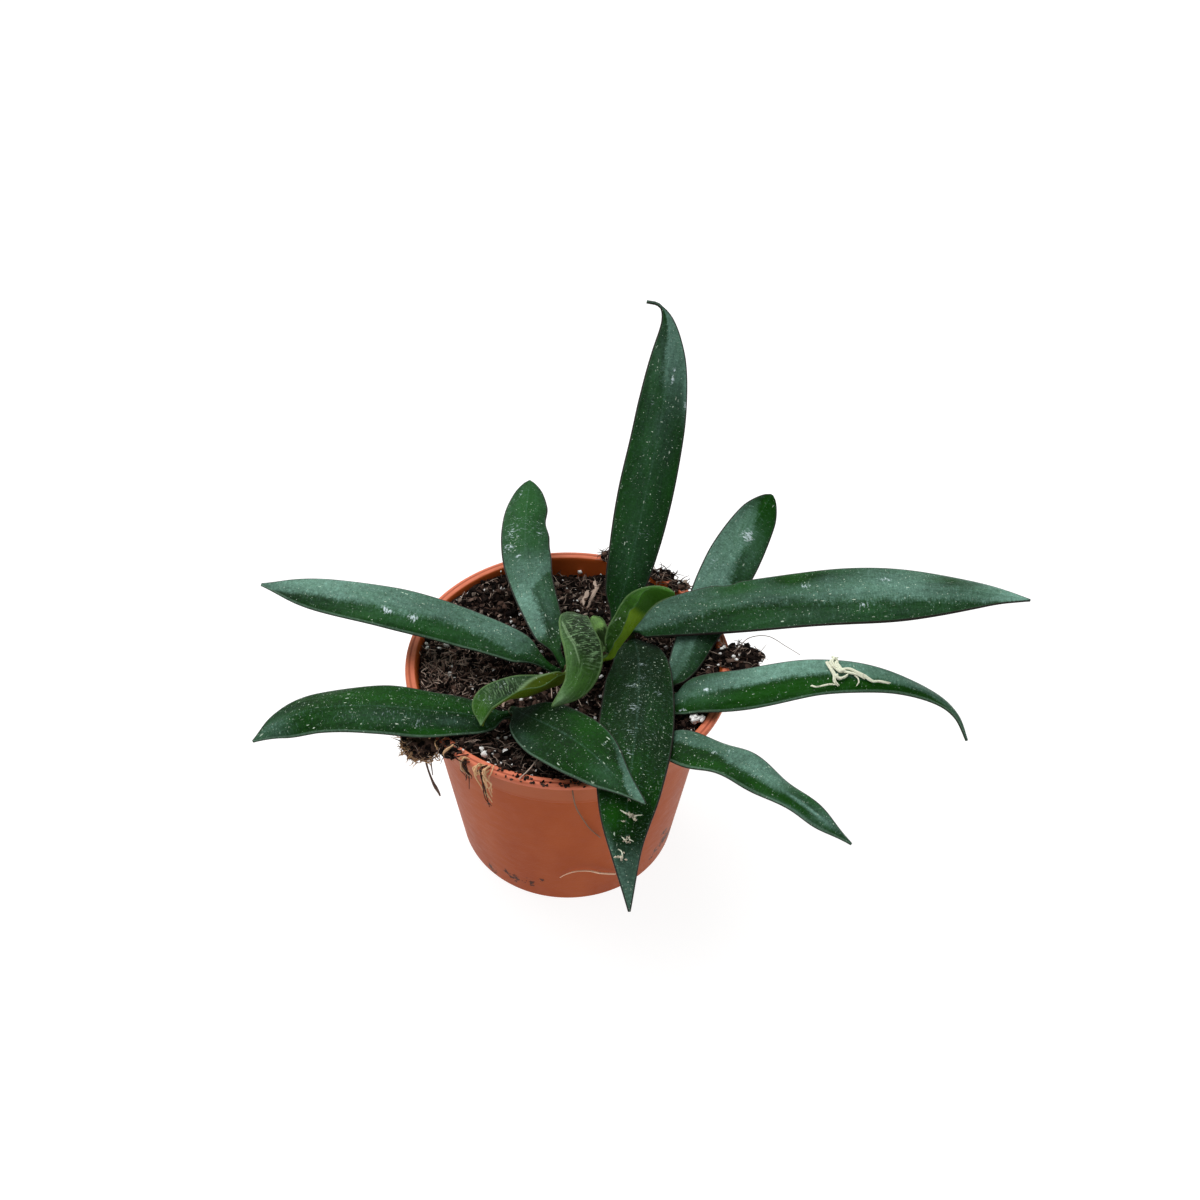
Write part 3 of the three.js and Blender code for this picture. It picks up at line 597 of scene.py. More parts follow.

# How each leaf is painted. Spots: across from -1 to 1, along from 0 to 1, reach of both, strength.
# Sheens and strips: the side they are on, the line along and across where they end, strengths along.
# The sheens are painted sheen, the wax spots waxy bloom and painted sheen, the glints painted highlights.
leafTones = {
    "leaf_tall_back": {
        "sheen": (1, [(0, 0.1), (0.66, 0.1), (0.74, -0.15), (0.82, -0.15), (1, 0)],
                  [(0.6, 0), (0.68, 0.12), (0.76, 0.36), (0.85, 0.5), (1, 0.45)]),
        "waxAndSheen": [(0, 0.6, 0.8, 0.12, 0.08), (0, 0.42, 0.9, 0.2, 0.06), (0.95, 0.71, 0.16, 0.07, 0.4),
                (-0.5, 0.8, 0.5, 0.12, 0.12), (0, 0.2, 0.9, 0.14, 0.06)],
        "freshAndShade": [(0.2, 0.4, 0.9, 0.2, 0.25), (-0.5, 0.64, 0.5, 0.2, 0.2), (0, 0.2, 0.9, 0.2, 0.25)],
        "glints": [(0.27, 0.735, 0.09, 0.012, 1.0), (0.33, 0.765, 0.14, 0.014, 0.5),
                   (0.92, 0.67, 0.1, 0.012, 0.8), (-0.4, 0.66, 0.1, 0.01, 0.5),
                   (0.3, 0.28, 0.3, 0.012, 0.3)],
        "flecks": 0.9,
    },
    "leaf_long_right": {
        "sheen": (-1, [(0, 0.5), (0.1, 0.35), (0.2, 0.12), (0.4, 0.16), (0.5, 0.26), (0.75, 0.4),
                       (0.85, 0.6), (1, 0.9)],
                  [(0, 0.3), (0.1, 0.26), (0.2, 0.2), (0.4, 0.2), (0.5, 0.34), (0.6, 0.5), (0.7, 0.5),
                   (0.8, 0.34), (0.88, 0.36), (0.94, 0.7), (1, 1.1)]),
        "waxAndSheen": [(-0.75, 0.27, 0.45, 0.06, -0.14), (-0.8, 0.42, 0.4, 0.06, -0.2),
                (-0.5, 0.81, 0.6, 0.06, -0.26), (-0.85, 0.56, 0.5, 0.2, -0.28), (0.7, 0.5, 0.4, 0.5, 0.09)],
        "freshAndShade": [(-0.7, 0.27, 0.4, 0.06, 0.6), (-0.8, 0.42, 0.3, 0.05, 0.6), (0.6, 0.5, 0.5, 0.5, 0.3)],
        "glints": [(-0.36, 0.44, 0.1, 0.012, 0.6), (-0.42, 0.64, 0.12, 0.015, 0.6),
                   (0.5, 0.58, 0.14, 0.015, 0.5)],
        "marks": 0.16,
        "flecks": 1.0,
    },
    "leaf_back_right": {
        "sheen": (-1, [(0, 0.1), (0.3, 0.1), (0.55, 0.3), (0.65, 0.16), (0.8, 0.1), (0.9, -0.1), (1, -1)],
                  [(0, 0.2), (0.15, 0.26), (0.3, 0.36), (0.55, 0.54), (0.75, 0.42), (0.88, 0.32),
                   (0.97, 0)]),
        "waxAndSheen": [(0.5, 0.74, 0.6, 0.14, 0.18), (0.3, 0.2, 0.5, 0.15, 0.1), (0.1, 0.8, 0.3, 0.05, 0.25),
                (-0.8, 0.2, 0.3, 0.12, 0.3)],
        "freshAndShade": [(0.4, 0.85, 0.9, 0.2, 1.0)],
        "glints": [(0.04, 0.79, 0.3, 0.03, 0.7), (-0.5, 0.62, 0.3, 0.03, 0.3)],
        "marks": 0.2,
        "flecks": 0.8,
    },
    "leaf_back_left": {
        "sheen": (-1, [(0, -0.25), (0.1, -0.25), (0.2, -0.12), (0.35, -0.1), (0.46, 1.2), (1, 1.2)],
                  [(0.07, 0), (0.11, 0.45), (0.3, 0.55), (0.42, 0.3), (0.5, 0.22), (0.58, 0.1), (0.75, 0.06),
                   (0.9, 0.06)]),
        "waxAndSheen": [(-0.6, 0.34, 0.3, 0.08, 0.16), (0.4, 0.3, 0.5, 0.16, 0.2), (-0.2, 0.48, 0.8, 0.05, 0.1)],
        "freshAndShade": [(0.2, 0.85, 0.9, 0.25, 0.8), (0, 0.6, 1, 0.1, 0.4)],
        "glints": [(-0.7, 0.58, 0.35, 0.02, 0.4), (-0.5, 0.65, 0.4, 0.06, 0.3), (0.6, 0.66, 0.35, 0.03, 0.3),
                   (-0.3, 0.53, 0.15, 0.02, 0.5), (-0.45, 0.9, 0.1, 0.03, 0.6), (0, 0.72, 0.8, 0.05, 0.16)],
        "flecks": 1.1,
    },
    "leaf_long_left": {
        "sheen": (1, [(0, 0), (0.1, -0.45), (0.2, -0.2), (0.3, -0.2), (0.4, -0.12), (0.5, -0.37),
                      (0.6, -0.2), (0.7, -0.28), (0.8, -0.25), (0.9, -0.5), (1, -1)],
                  [(0.03, 0), (0.1, 0.28), (0.2, 0.36), (0.35, 0.3), (0.5, 0.38), (0.6, 0.44), (0.75, 0.56),
                   (0.9, 0.5), (1, 0.3)]),
        "waxAndSheen": [(-0.5, 0.5, 0.4, 0.5, 0.07)],
        "freshAndShade": [(-0.6, 0.45, 0.5, 0.3, 0.6)],
        "glints": [(-0.3, 0.55, 0.15, 0.02, 0.8), (-0.34, 0.46, 0.2, 0.018, 0.8)],
        "paleEdge": -1,
        "flecks": 1.0,
    },
    "leaf_low_left": {
        "waxAndSheen": [(-0.4, 0.45, 0.35, 0.22, 0.08), (-0.2, 0.93, 0.9, 0.09, 0.25), (-0.4, 0.2, 0.2, 0.08, 0.1)],
        "freshAndShade": [(0.5, 0.5, 0.6, 0.25, 0.5), (-0.4, 0.8, 0.5, 0.2, 0.5), (-0.85, 0.3, 0.2, 0.1, 0.8)],
        "glints": [(-0.35, 0.46, 0.3, 0.06, 0.2), (-0.5, 0.33, 0.3, 0.05, 0.2),
                   (-0.5, 0.6, 0.3, 0.05, 0.15)],
        "marks": 0.2,
        "paleEdge": -1,
        "flecks": 1.1,
    },
    "leaf_short_front": {
        "sheen": (-1, [(0, -1.3), (0.4, -1.1), (0.5, -1), (0.6, -0.9), (0.7, -0.75), (0.8, -0.45),
                       (0.9, 0.4), (1, 1)],
                  [(0.4, 0), (0.5, 0.2), (0.7, 0.26), (0.8, 0.34), (0.92, 0.38), (1, 0.5)]),
        "waxAndSheen": [(0.75, 0.2, 0.25, 0.12, 0.08), (0.3, 0.75, 0.5, 0.1, 0.1)],
        "freshAndShade": [(-0.3, 0.52, 0.5, 0.12, 0.4), (0.4, 0.65, 0.4, 0.15, 0.5), (0, 0.06, 1, 0.2, -0.8)],
        "glints": [(0.3, 0.48, 0.1, 0.02, 0.3), (-0.55, 0.6, 0.12, 0.03, 0.3)],
        "marks": 0.1,
        "paleEdge": 1,
        "flecks": 1.1,
    },
    "leaf_long_front": {
        "sheen": (-1, [(0, 1.5), (1, 1.5)], [(0.8, 0), (0.86, 0.24), (0.93, 0.36), (1, 0.4)]),
        "waxAndSheen": [(0.85, 0.82, 0.2, 0.06, 0.2), (-0.2, 0.3, 0.6, 0.2, 0.02)],
        "freshAndShade": [(0.5, 0.73, 0.5, 0.05, 0.8), (-0.4, 0.66, 0.5, 0.1, 0.3), (0, 0.35, 1, 0.3, -0.25),
                  (0, 0.05, 1, 0.1, -0.9)],
        "glints": [(-0.1, 0.145, 0.16, 0.012, 0.5), (-0.1, 0.205, 0.2, 0.014, 0.4),
                   (0.15, 0.245, 0.35, 0.014, 0.4), (-0.6, 0.27, 0.2, 0.014, 0.4),
                   (0.1, 0.35, 0.3, 0.035, 0.34), (0.15, 0.45, 0.2, 0.03, 0.26),
                   (0.1, 0.53, 0.2, 0.018, 0.3), (-0.4, 0.46, 0.2, 0.03, 0.25)],
        "marks": 0.26,
        "flecks": 1.4,
    },
    "leaf_curled_right": {
        "sheen": (-1, [(0, 0.3), (0.1, 0.12), (0.2, 0), (0.4, -0.06), (0.5, 0), (0.6, 0.25), (0.8, 0.3),
                       (1, 1)],
                  [(0, 0.2), (0.1, 0.24), (0.2, 0.4), (0.35, 0.7), (0.5, 0.6), (0.6, 0.44), (0.75, 0.28),
                   (0.9, 0.2)]),
        "waxAndSheen": [(-0.95, 0.15, 0.3, 0.12, -0.2), (0.3, 0.12, 0.3, 0.08, 0.1)],
        "freshAndShade": [(0.5, 0.4, 0.5, 0.5, 0.7)],
        "glints": [(-0.06, 0.14, 0.09, 0.014, 1.0), (0.75, 0.06, 0.08, 0.012, 0.8)],
        "paleEdge": 1,
        "flecks": 0.7,
    },
    "leaf_low_right": {
        "sheen": (-1, [(0, -0.2), (0.2, -0.05), (0.3, -0.1), (0.4, 0.3), (0.6, 0.3), (0.7, 0.1), (0.8, 0.2),
                       (1, 0.5)],
                  [(0, 0.2), (0.2, 0.26), (0.3, 0.3), (0.38, 0.36), (0.5, 0.42), (0.6, 0.38), (0.68, 0.1),
                   (0.78, 0.1), (0.86, 0.3), (0.95, 0.1)]),
        "waxAndSheen": [(0.06, 0.72, 0.14, 0.06, 0.5), (0.08, 0.8, 0.16, 0.06, 0.5), (-0.1, 0.55, 0.4, 0.1, 0.12),
                (0.4, 0.84, 0.4, 0.06, 0.25), (0.95, 0.76, 0.2, 0.14, 0.4)],
        "freshAndShade": [(-0.7, 0.77, 0.4, 0.08, 1.0), (0.5, 0.75, 0.4, 0.2, 0.6), (0.6, 0.3, 0.4, 0.3, 0.4)],
        "glints": [(0.0, 0.3, 0.16, 0.02, 0.5), (0.3, 0.52, 0.12, 0.06, 0.3), (-0.4, 0.36, 0.2, 0.02, 0.3)],
        "marks": 0.14,
        "paleEdge": 1,
        "flecks": 1.2,
    },
    "young_leaf_left": {
        "waxAndSheen": [(0.5, 0.5, 0.5, 0.16, 0.2), (0, 1, 1, 0.05, 0.9), (0.3, 0.75, 0.5, 0.1, 0.1)],
        "freshAndShade": [(0, 0.9, 1, 0.1, 1.0), (0.4, 0.45, 0.8, 0.3, -1)],
        "glints": [(0.4, 0.6, 0.6, 0.14, 0.16), (0.2, 0.82, 0.6, 0.08, 0.2)],
        "strip": (-1, [(0, 1), (0.1, 1), (0.2, 0.9), (0.3, 0.78), (0.4, 0.55), (0.5, 0.28), (0.6, -0.2),
                       (0.68, -1), (1, -1)], [(0, 1), (0.5, 1), (0.66, 0)]),
        "wrinkles": [(0.4, 0.62, 0.6, 0.2, 1.0)],
        "colours": {"vividGreen": (0.065, 0.1, 0.006), "underGreen": (0.17, 0.25, 0.012),
                    "deepGreen": (0.01, 0.035, 0.009)},
        "flecks": 0.5,
    },
    "young_leaf_centre": {
        "waxAndSheen": [(0.1, 0.94, 1.4, 0.07, 0.8), (0.7, 0.6, 0.3, 0.3, 0.25), (-0.1, 0.8, 0.6, 0.1, 0.12)],
        "freshAndShade": [(0, 0.8, 0.9, 0.12, 0.5), (0.8, 0.6, 0.25, 0.3, 0.5), (-0.2, 0.36, 0.9, 0.18, -0.9)],
        "wrinkles": [(-0.2, 0.4, 0.9, 0.17, 1.8), (-0.5, 0.56, 0.6, 0.13, 1.3)],
        "veins": [[(0.29, 0.85), (0.36, 0.66), (0.45, 0.52), (0.53, 0.36), (0.57, 0.1), (0.58, -0.3)],
                  [(0.31, 0.8), (0.44, 0.62), (0.54, 0.44), (0.62, 0.34), (0.69, 0.2)],
                  [(0.3, 0.6), (0.36, 0.35), (0.42, 0.25)]],
        "flecks": 0.4,
    },
    "young_leaf_right": {
        "freshAndShade": [(0, 0.6, 1, 0.5, 0.5), (0, 0.9, 1, 0.2, 0.6)],
        "waxAndSheen": [(0, 0.75, 0.5, 0.1, 0.1)],
        "wrinkles": [(0, 0.3, 1.5, 0.16, 0.3)],
        "underEnds": 0.54,
        "colours": {"underGreen": (0.23, 0.4, 0.024)},
        "marks": 0.05,
        "flecks": 0.7,
    },
    "tip_sprout": {"freshAndShade": [(0, 0.9, 1, 0.3, 1.4), (0, 0.3, 1.5, 0.25, -1)],
                   "waxAndSheen": [(0, 0.85, 1, 0.2, 0.5)], "flecks": 0},
}


# patterns on a blade: stretch, turn, fineness, detail, roughness
bladePatterns = {
    "clouds": ((1, 0.3, 1), 0, 0.16, 4, 0.6),
    "patches": ((1, 0.5, 1), 0, 0.5, 6, 0.7),
    "fine": ((1, 0.6, 1), 0, 1.9, 5, 0.8),
    "streaks": ((0.7, 1.6, 1), 0.3, 0.9, 5, 0.72),
    "lines": ((1.6, 0.12, 1), 0, 1.3, 4, 0.6),
    "waves": ((1, 0.35, 1), 0, 0.25, 2, 0.55),
}

# layers of flecks and dashes: stretch, turn, fineness
fleckLayers = [((1, 0.8, 1), 0.2, 1.25), ((1.5, 0.4, 1), 0.7, 0.8), ((0.6, 1.7, 1), -0.3, 1.1),
               ((1, 1, 1), 0, 2.4)]


def patternOf(tree, place, key):
    stretch, turn, fineness, detail, roughness = bladePatterns[key]
    return cloudsOf(tree, stretched(tree, place, stretch, turn), fineness, detail, roughness)


def leafFinish(name, look, tones, young):
    finish, tree, surface = newFinish(name)
    place = attributeOf(tree, "leafPlace")  # millimetres across and along the blade
    share = partsOf(tree, attributeOf(tree, "leafShare"))  # -1 to 1 across, 0 to 1 along, underside
    edge = partsOf(tree, attributeOf(tree, "leafEdge"))  # millimetres from the edge, which side
    tone = partsOf(tree, attributeOf(tree, "leafTone"))  # wax and painted sheen, fresh green with painted light and shade, painted glints
    clouds = patternOf(tree, place, "clouds")
    patches = patternOf(tree, place, "patches")
    fine = patternOf(tree, place, "fine")
    streaks = patternOf(tree, place, "streaks")
    # fresh spots: positive ones are lighter fresh green, in places painted light; negative ones darken, and
    # at the bases of the two front leaves and on the sprout's lower part they are painted shade
    freshAndShade = plusOf(tree, rangeOf(tree, clouds, 0.35, 0.65, 0, 0.5), tone[1])
    freshAndShade = plusOf(tree, freshAndShade, rangeOf(tree, fine, 0.3, 0.7, -0.45, 0.45), True)
    colour = blendOf(tree, freshAndShade, look["deepGreen"], look["freshGreen"])
    # painted sheen: the reflection of the bright wall behind, painted into the colour, mostly on the half
    # turned away; it ends at a ragged line
    sheen = partsOf(tree, attributeOf(tree, "leafSheen"))  # how far inside the line, strength
    byPatches, byStreaks = look["sheenRagged"]
    ragged = plusOf(tree, timesOf(tree, patches, byPatches), timesOf(tree, streaks, byStreaks))
    inside = rangeOf(tree, plusOf(tree, sheen[0], ragged), *look["sheenFrom"], 0, 1, True)
    # spots of waxy bloom and painted sheen, and the band of painted sheen, lighten the blade towards that
    # blue-green
    waxAndSheen = plusOf(tree, tone[0], timesOf(tree, inside, sheen[1]))
    waxAndSheen = mathOf(tree, "MAXIMUM", waxAndSheen, 0)
    waxAndSheen = timesOf(tree, waxAndSheen, rangeOf(tree, patches, 0.3, 0.7, 0.72, 1.28))
    waxAndSheen = timesOf(tree, waxAndSheen, rangeOf(tree, streaks, 0.3, 0.7, 0.7, 1.35))
    waxAndSheen = timesOf(tree, waxAndSheen, rangeOf(tree, fine, 0.3, 0.7, 0.6, 1.4))
    marks = plusOf(tree, streaks, timesOf(tree, patches, 0.3))
    marks = timesOf(tree, rangeOf(tree, marks, 0.7, 0.84, 0, 1, True), tones.get("marks", 0.1))
    colour = blendOf(tree, plusOf(tree, waxAndSheen, marks, True), colour, look["waxAndSheenGreen"])
    if young:
        lines = patternOf(tree, place, "lines")
        colour = blendOf(tree, rangeOf(tree, lines, 0.54, 0.68, 0, 0.3, True), colour, look["waxAndSheenGreen"])
        paint = partsOf(tree, attributeOf(tree, "youngTone"))  # wrinkles, vivid strip, pale lines
        folds = stretched(tree, shaken(tree, place, 0.4, 1.2), (0.3, 1.5, 1), 0.15)
        folds = cloudsOf(tree, folds, 1.1, 3, 0.6)
        # the wrinkled parts are painted dark, painted shade in the wrinkles, and the ridges of the folds get
        # painted highlights
        colour = blendOf(tree, timesOf(tree, paint[0], 0.85, True), colour, look["wrinkleShade"])
        ridges = timesOf(tree, rangeOf(tree, folds, 0.5, 0.62, 0, 0.75, True), paint[0], True)
        colour = blendOf(tree, ridges, colour, look["waxAndSheenGreen"])
        vivid = timesOf(tree, paint[1], rangeOf(tree, fine, 0.3, 0.7, 0.7, 1.2), True)
        colour = blendOf(tree, vivid, colour, look["vividGreen"])
        colour = blendOf(tree, timesOf(tree, paint[2], 0.8, True), colour, look["marginPale"])
    else:
        # a pale line along the midrib: its own paler colour and a painted highlight on its crest
        midrib = rangeOf(tree, sizeOf(tree, share[0]), *look["midrib"], 0, True)
        midrib = timesOf(tree, midrib, rangeOf(tree, streaks, 0.4, 0.6, 0.2, 1.4))
        colour = blendOf(tree, midrib, colour, look["waxAndSheenGreen"])
    # ragged bright glints where the paint of the blade asks for them
    glints = plusOf(tree, streaks, timesOf(tree, tone[2], 0.3))
    glints = timesOf(tree, rangeOf(tree, glints, *look["glintFrom"], 0, 1, True),
                     timesOf(tree, tone[2], 2.2, True))
    colour = blendOf(tree, glints, colour, look["glintColour"])
    # specks of wax and the short silver dashes among them, gathered here and there
    shaky = shaken(tree, place, 1.6, 0.7)
    gathers = cloudsOf(tree, place, 0.1, 2)
    flecks = tones["flecks"]
    gate = rangeOf(tree, gathers, 0.3, 0.7, 1 - 0.05 * flecks, 1 - 0.25 * flecks)
    for scale, turn, size in fleckLayers:
        distance, pick, width = cellsOf(tree, stretched(tree, shaky, scale, turn), size)
        reach = rangeOf(tree, width, 0, 1, 0.1, 0.3)
        dot = rangeOf(tree, mathOf(tree, "DIVIDE", distance, reach), 0.6, 1, 1, 0)
        chosen = rangeOf(tree, pick, gate, 1, 0, 1)
        chosen = timesOf(tree, mathOf(tree, "GREATER_THAN", pick, gate),
                         plusOf(tree, mathOf(tree, "POWER", chosen, 2), 0.16), True)
        colour = blendOf(tree, timesOf(tree, dot, chosen), colour, look["fleckColour"])
    # the margins: a thin dark line, and inside it a pale one that is broader on the side with the pale edge;
    # both are partly painted light and shade on the rounded edge, the pale line painted light and the dark
    # line partly the edge's own colour and partly painted shade
    isPale = rangeOf(tree, timesOf(tree, edge[1], tones.get("paleEdge", 0)), 0.4, 0.6, 0, 1)
    paleWidths, paleStrengths = look["paleMargin"]
    paleTo = rangeOf(tree, isPale, 0, 1, *paleWidths)
    pale = timesOf(tree, rangeOf(tree, mathOf(tree, "DIVIDE", edge[0], paleTo), 0.6, 1, 1, 0, True),
                   rangeOf(tree, isPale, 0, 1, *paleStrengths))
    pale = timesOf(tree, pale, rangeOf(tree, fine, 0.3, 0.6, 0.4, 1))
    if "underEnds" in tones:
        # the near half's bright underside ends part of the way along, and so does its pale margin
        start = tones["underEnds"]
        ends = rangeOf(tree, plusOf(tree, share[1], timesOf(tree, patches, 0.1)), start,
                       start + 0.1, 0, 1, True)
        shown = mathOf(tree, "SUBTRACT", 1, timesOf(tree, ends, rangeOf(tree, edge[1], -0.2, 0.2)))
        pale = timesOf(tree, pale, shown)
    colour = blendOf(tree, pale, colour, look["marginPale"])
    darkTo = rangeOf(tree, isPale, 0, 1, *look["darkMargin"])
    dark = rangeOf(tree, mathOf(tree, "DIVIDE", edge[0], darkTo), 0.7, 1.1, 0.85, 0, True)
    if "underEnds" in tones:
        dark = timesOf(tree, dark, shown)
    colour = blendOf(tree, dark, colour, look["marginDark"])
    freshness = rangeOf(tree, clouds, 0.3, 0.7, 0, 0.4)
    underside = blendOf(tree, freshness, look["underGreen"], look["freshGreen"])
    if "underEnds" in tones:
        underside = blendOf(tree, ends, underside, look["freshGreen"])
        keel = rangeOf(tree, sizeOf(tree, share[0]), 0.06, 0.16, 0.8, 0, True)
        underside = blendOf(tree, timesOf(tree, keel, ends), underside, look["marginPale"])
    colour = blendOf(tree, share[2], colour, underside)
    feed(tree, surface.inputs["Base Color"], colour)
    low, high = look["roughness"]
    feed(tree, surface.inputs["Roughness"], rangeOf(tree, patches, 0.35, 0.65, low, high))
    surface.inputs["Specular IOR Level"].default_value = look["specular"]
    surface.inputs["Specular Tint"].default_value = (*look["specularTint"], 1)
    waves = patternOf(tree, place, "waves")
    height = plusOf(tree, timesOf(tree, patches, 0.5), waves)
    height = plusOf(tree, height, timesOf(tree, fine, 0.14))
    if young:
        height = plusOf(tree, height, timesOf(tree, folds, timesOf(tree, paint[0], 0.8)))
    roughened(tree, surface, height, 0.001, look["grain"])
    return finish


def spotsOver(ratios, spots):
    # strengths of soft spots given by place and reach, added up at each point of a blade
    total = np.zeros(len(ratios))
    for across, along, wide, long, strength in spots:
        far = ((ratios[:, 0] - across) / wide) ** 2 + ((ratios[:, 1] - along) / long) ** 2
        total += strength * np.exp(-far * 1.2)
    return total


noBand = (1, [(0, 2), (1, 2)], [(0, 0), (1, 0)])


def bandOver(ratios, band):
    # how far each point is on the band's side of its line, and the band's strength there
    side, line, strengths = band
    ends = np.interp(ratios[:, 1], *zip(*line))
    return (ratios[:, 0] - ends) * side, np.interp(ratios[:, 1], *zip(*strengths))


def veinsOver(ratios, veins):
    total = np.zeros(len(ratios))
    for vein in veins:
        along, across = zip(*vein)
        away = ratios[:, 0] - np.interp(ratios[:, 1], along, across)
        inside = smoothStep((ratios[:, 1] - along[0]) / 0.03) * smoothStep((along[-1] - ratios[:, 1]) / 0.03)
        total = np.maximum(total, np.exp(-(away / 0.035) ** 2) * inside * 0.6)
    return total


def makeLeaves():
    for number, (name, values) in enumerate(leaves.items()):
        leaf = {**leafShape, **values}
        points, faces, sizes, ratios, edges = leafSkin(leaf)
        sizes[:, 2] += number * 17.3  # so that no two leaves share a pattern
        tones = leafTones[name]
        painted = {"leafPlace": sizes, "leafShare": ratios, "leafEdge": edges}
        # spots of wax and painted sheen, of fresh green with painted light and shade, and of painted glints
        spots = [spotsOver(ratios, tones.get(key, [])) for key in ("waxAndSheen", "freshAndShade", "glints")]
        painted["leafTone"] = np.stack(spots, 1)
        away, strength = bandOver(ratios, tones.get("sheen", noBand))
        painted["leafSheen"] = np.stack([away, strength, strength * 0], 1)
        isYoung = leaf.get("young", False)
        if isYoung:
            away, strength = bandOver(ratios, tones.get("strip", noBand))
            wrinkles = np.minimum(1, spotsOver(ratios, tones.get("wrinkles", [])))
            line = np.exp(-(away / 0.07) ** 2) * strength
            pale = np.maximum(line, veinsOver(ratios, tones.get("veins", [])))
            painted["youngTone"] = np.stack([wrinkles, smoothStep(away / 0.12 + 0.5) * strength, pale], 1)
        look = sproutLook if name == "tip_sprout" else youngLook if isYoung else leafLook
        look = {**look, **tones.get("colours", {})}
        finish = leafFinish(name + "_skin", look, tones, isYoung)
        addPiece(name + "_blade", points, faces, finish, [name],
                 values=painted)
    print("leaves made:", len(leaves))


stems = {
    "stem_centre": [[(17, 10, 58), (16, 9, 74), (14, 5, 86), (13, -1, 93), (12, -5, 98.5)], [2.1, 1.4]],
    "stem_back_right": [[(25, 15, 60), (24, 15, 78), (22.5, 13.5, 92)], [2, 1.7]],
    "stem_left": [[(0, 0, 58), (-1, -2, 76), (-1, -6, 90), (1, -8, 95)], [2, 1.4]],
    "stem_right": [[(35, -12, 60), (35, -13, 76), (34, -15, 90)], [2, 1.7]],
    "stem_front_left": [[(-19, -23, 58), (-19, -24, 76), (-19, -26, 90)], [2, 1.7]],
    "stem_front_right": [[(27, -31, 60), (27, -32, 76), (28, -34, 90.5)], [1.9, 1.6]],
}

stemLook = {"bark": (0.11, 0.05, 0.025), "green": (0.035, 0.075, 0.02), "roughness": 0.6}


def makeStems():
    finish, tree, surface = newFinish("stemBark")
    place = objectPlace(tree)
    clouds = cloudsOf(tree, stretched(tree, place, (1, 1, 0.4)), 500, 4, 0.6)
    colour = blendOf(tree, rangeOf(tree, clouds, 0.4, 0.62), stemLook["bark"], stemLook["green"])
    feed(tree, surface.inputs["Base Color"], colour)
    surface.inputs["Roughness"].default_value = stemLook["roughness"]
    roughened(tree, surface, clouds, 0.0004)
    for name, (path, radii) in stems.items():
        points, faces = tube(path, radii, 14, 40)
        addPiece(name + "_bark", points, faces, finish, [name])
    print("stems made:", len(stems))


potSize = {
    "height": 90,
    "rimRadius": 60,
    "lipHeight": 2.2,
    "collarTopRadius": 57.2,
    "collarFootRadius": 54.4,
    "collarHeight": 16,
    "wallTopRadius": 52.6,
    "footRadius": 43,
    "footRingWidth": 5,
    "wall": 1.3,
    "floor": 1.4,
    "footLift": 1.6,
    "discRadius": 15,
    "drainHoles": 8,
    "drainHoleRadius": 3.2,
    "drainCircleRadius": 27,
    "edgeRound": 0.6,
    "collarStep": 1.5,
    "sides": 160,
}

potLook = {
    "plastic": (0.345, 0.06, 0.01),
    "paler": (0.42, 0.085, 0.017),
    "collar": (0.42, 0.12, 0.05),
    # brighter than the plastic outside: painted light inside the collar
    "inside": (0.45, 0.085, 0.016),
    # the lip's painted highlight
    "lip": (0.75, 0.22, 0.13),
    # painted shade of a groove that the wall's shape does not have
    "grooveShade": (0.3, 0.06, 0.03),
    "dust": (0.42, 0.14, 0.06),
    "stain": (0.07, 0.018, 0.005),
    "roughness": (0.4, 0.55),
    "litLipWidth": 3.7,  # of the lip's painted highlight, in from the rim
    "grooveIn": 1.6,  # of the groove's line from the rim
    "insideSlope": 0.175,  # how the collar's inner face leans, and its radius at height 0
    "insideRadius": 40.8,
    "specular": 0.06,
    # specks of soil, thickest in smears on the wall: place in mm and reach
    "speckFineness": 560,
    "speckNear": 0.17,
    "speckFrom": (0.6, 0.62),
    "smears": [
        ((-28.7, -32.5, 4.2), 3.5), ((-22.7, -37.7, 9.2), 2.6), ((-19.1, -39.5, 7.9), 4),
        ((-13.2, -42, 9.2), 3), ((-8.8, -43.7, 13.1), 1.6), ((38.8, -21.9, 12.7), 5.5),
        ((40.4, -18.4, 12), 5), ((36.2, -26.2, 9.7), 5), ((37.6, -24, 20), 3),
        ((-35, -34, 66), 3), ((-27.7, -42.1, 58), 2),
    ],
}


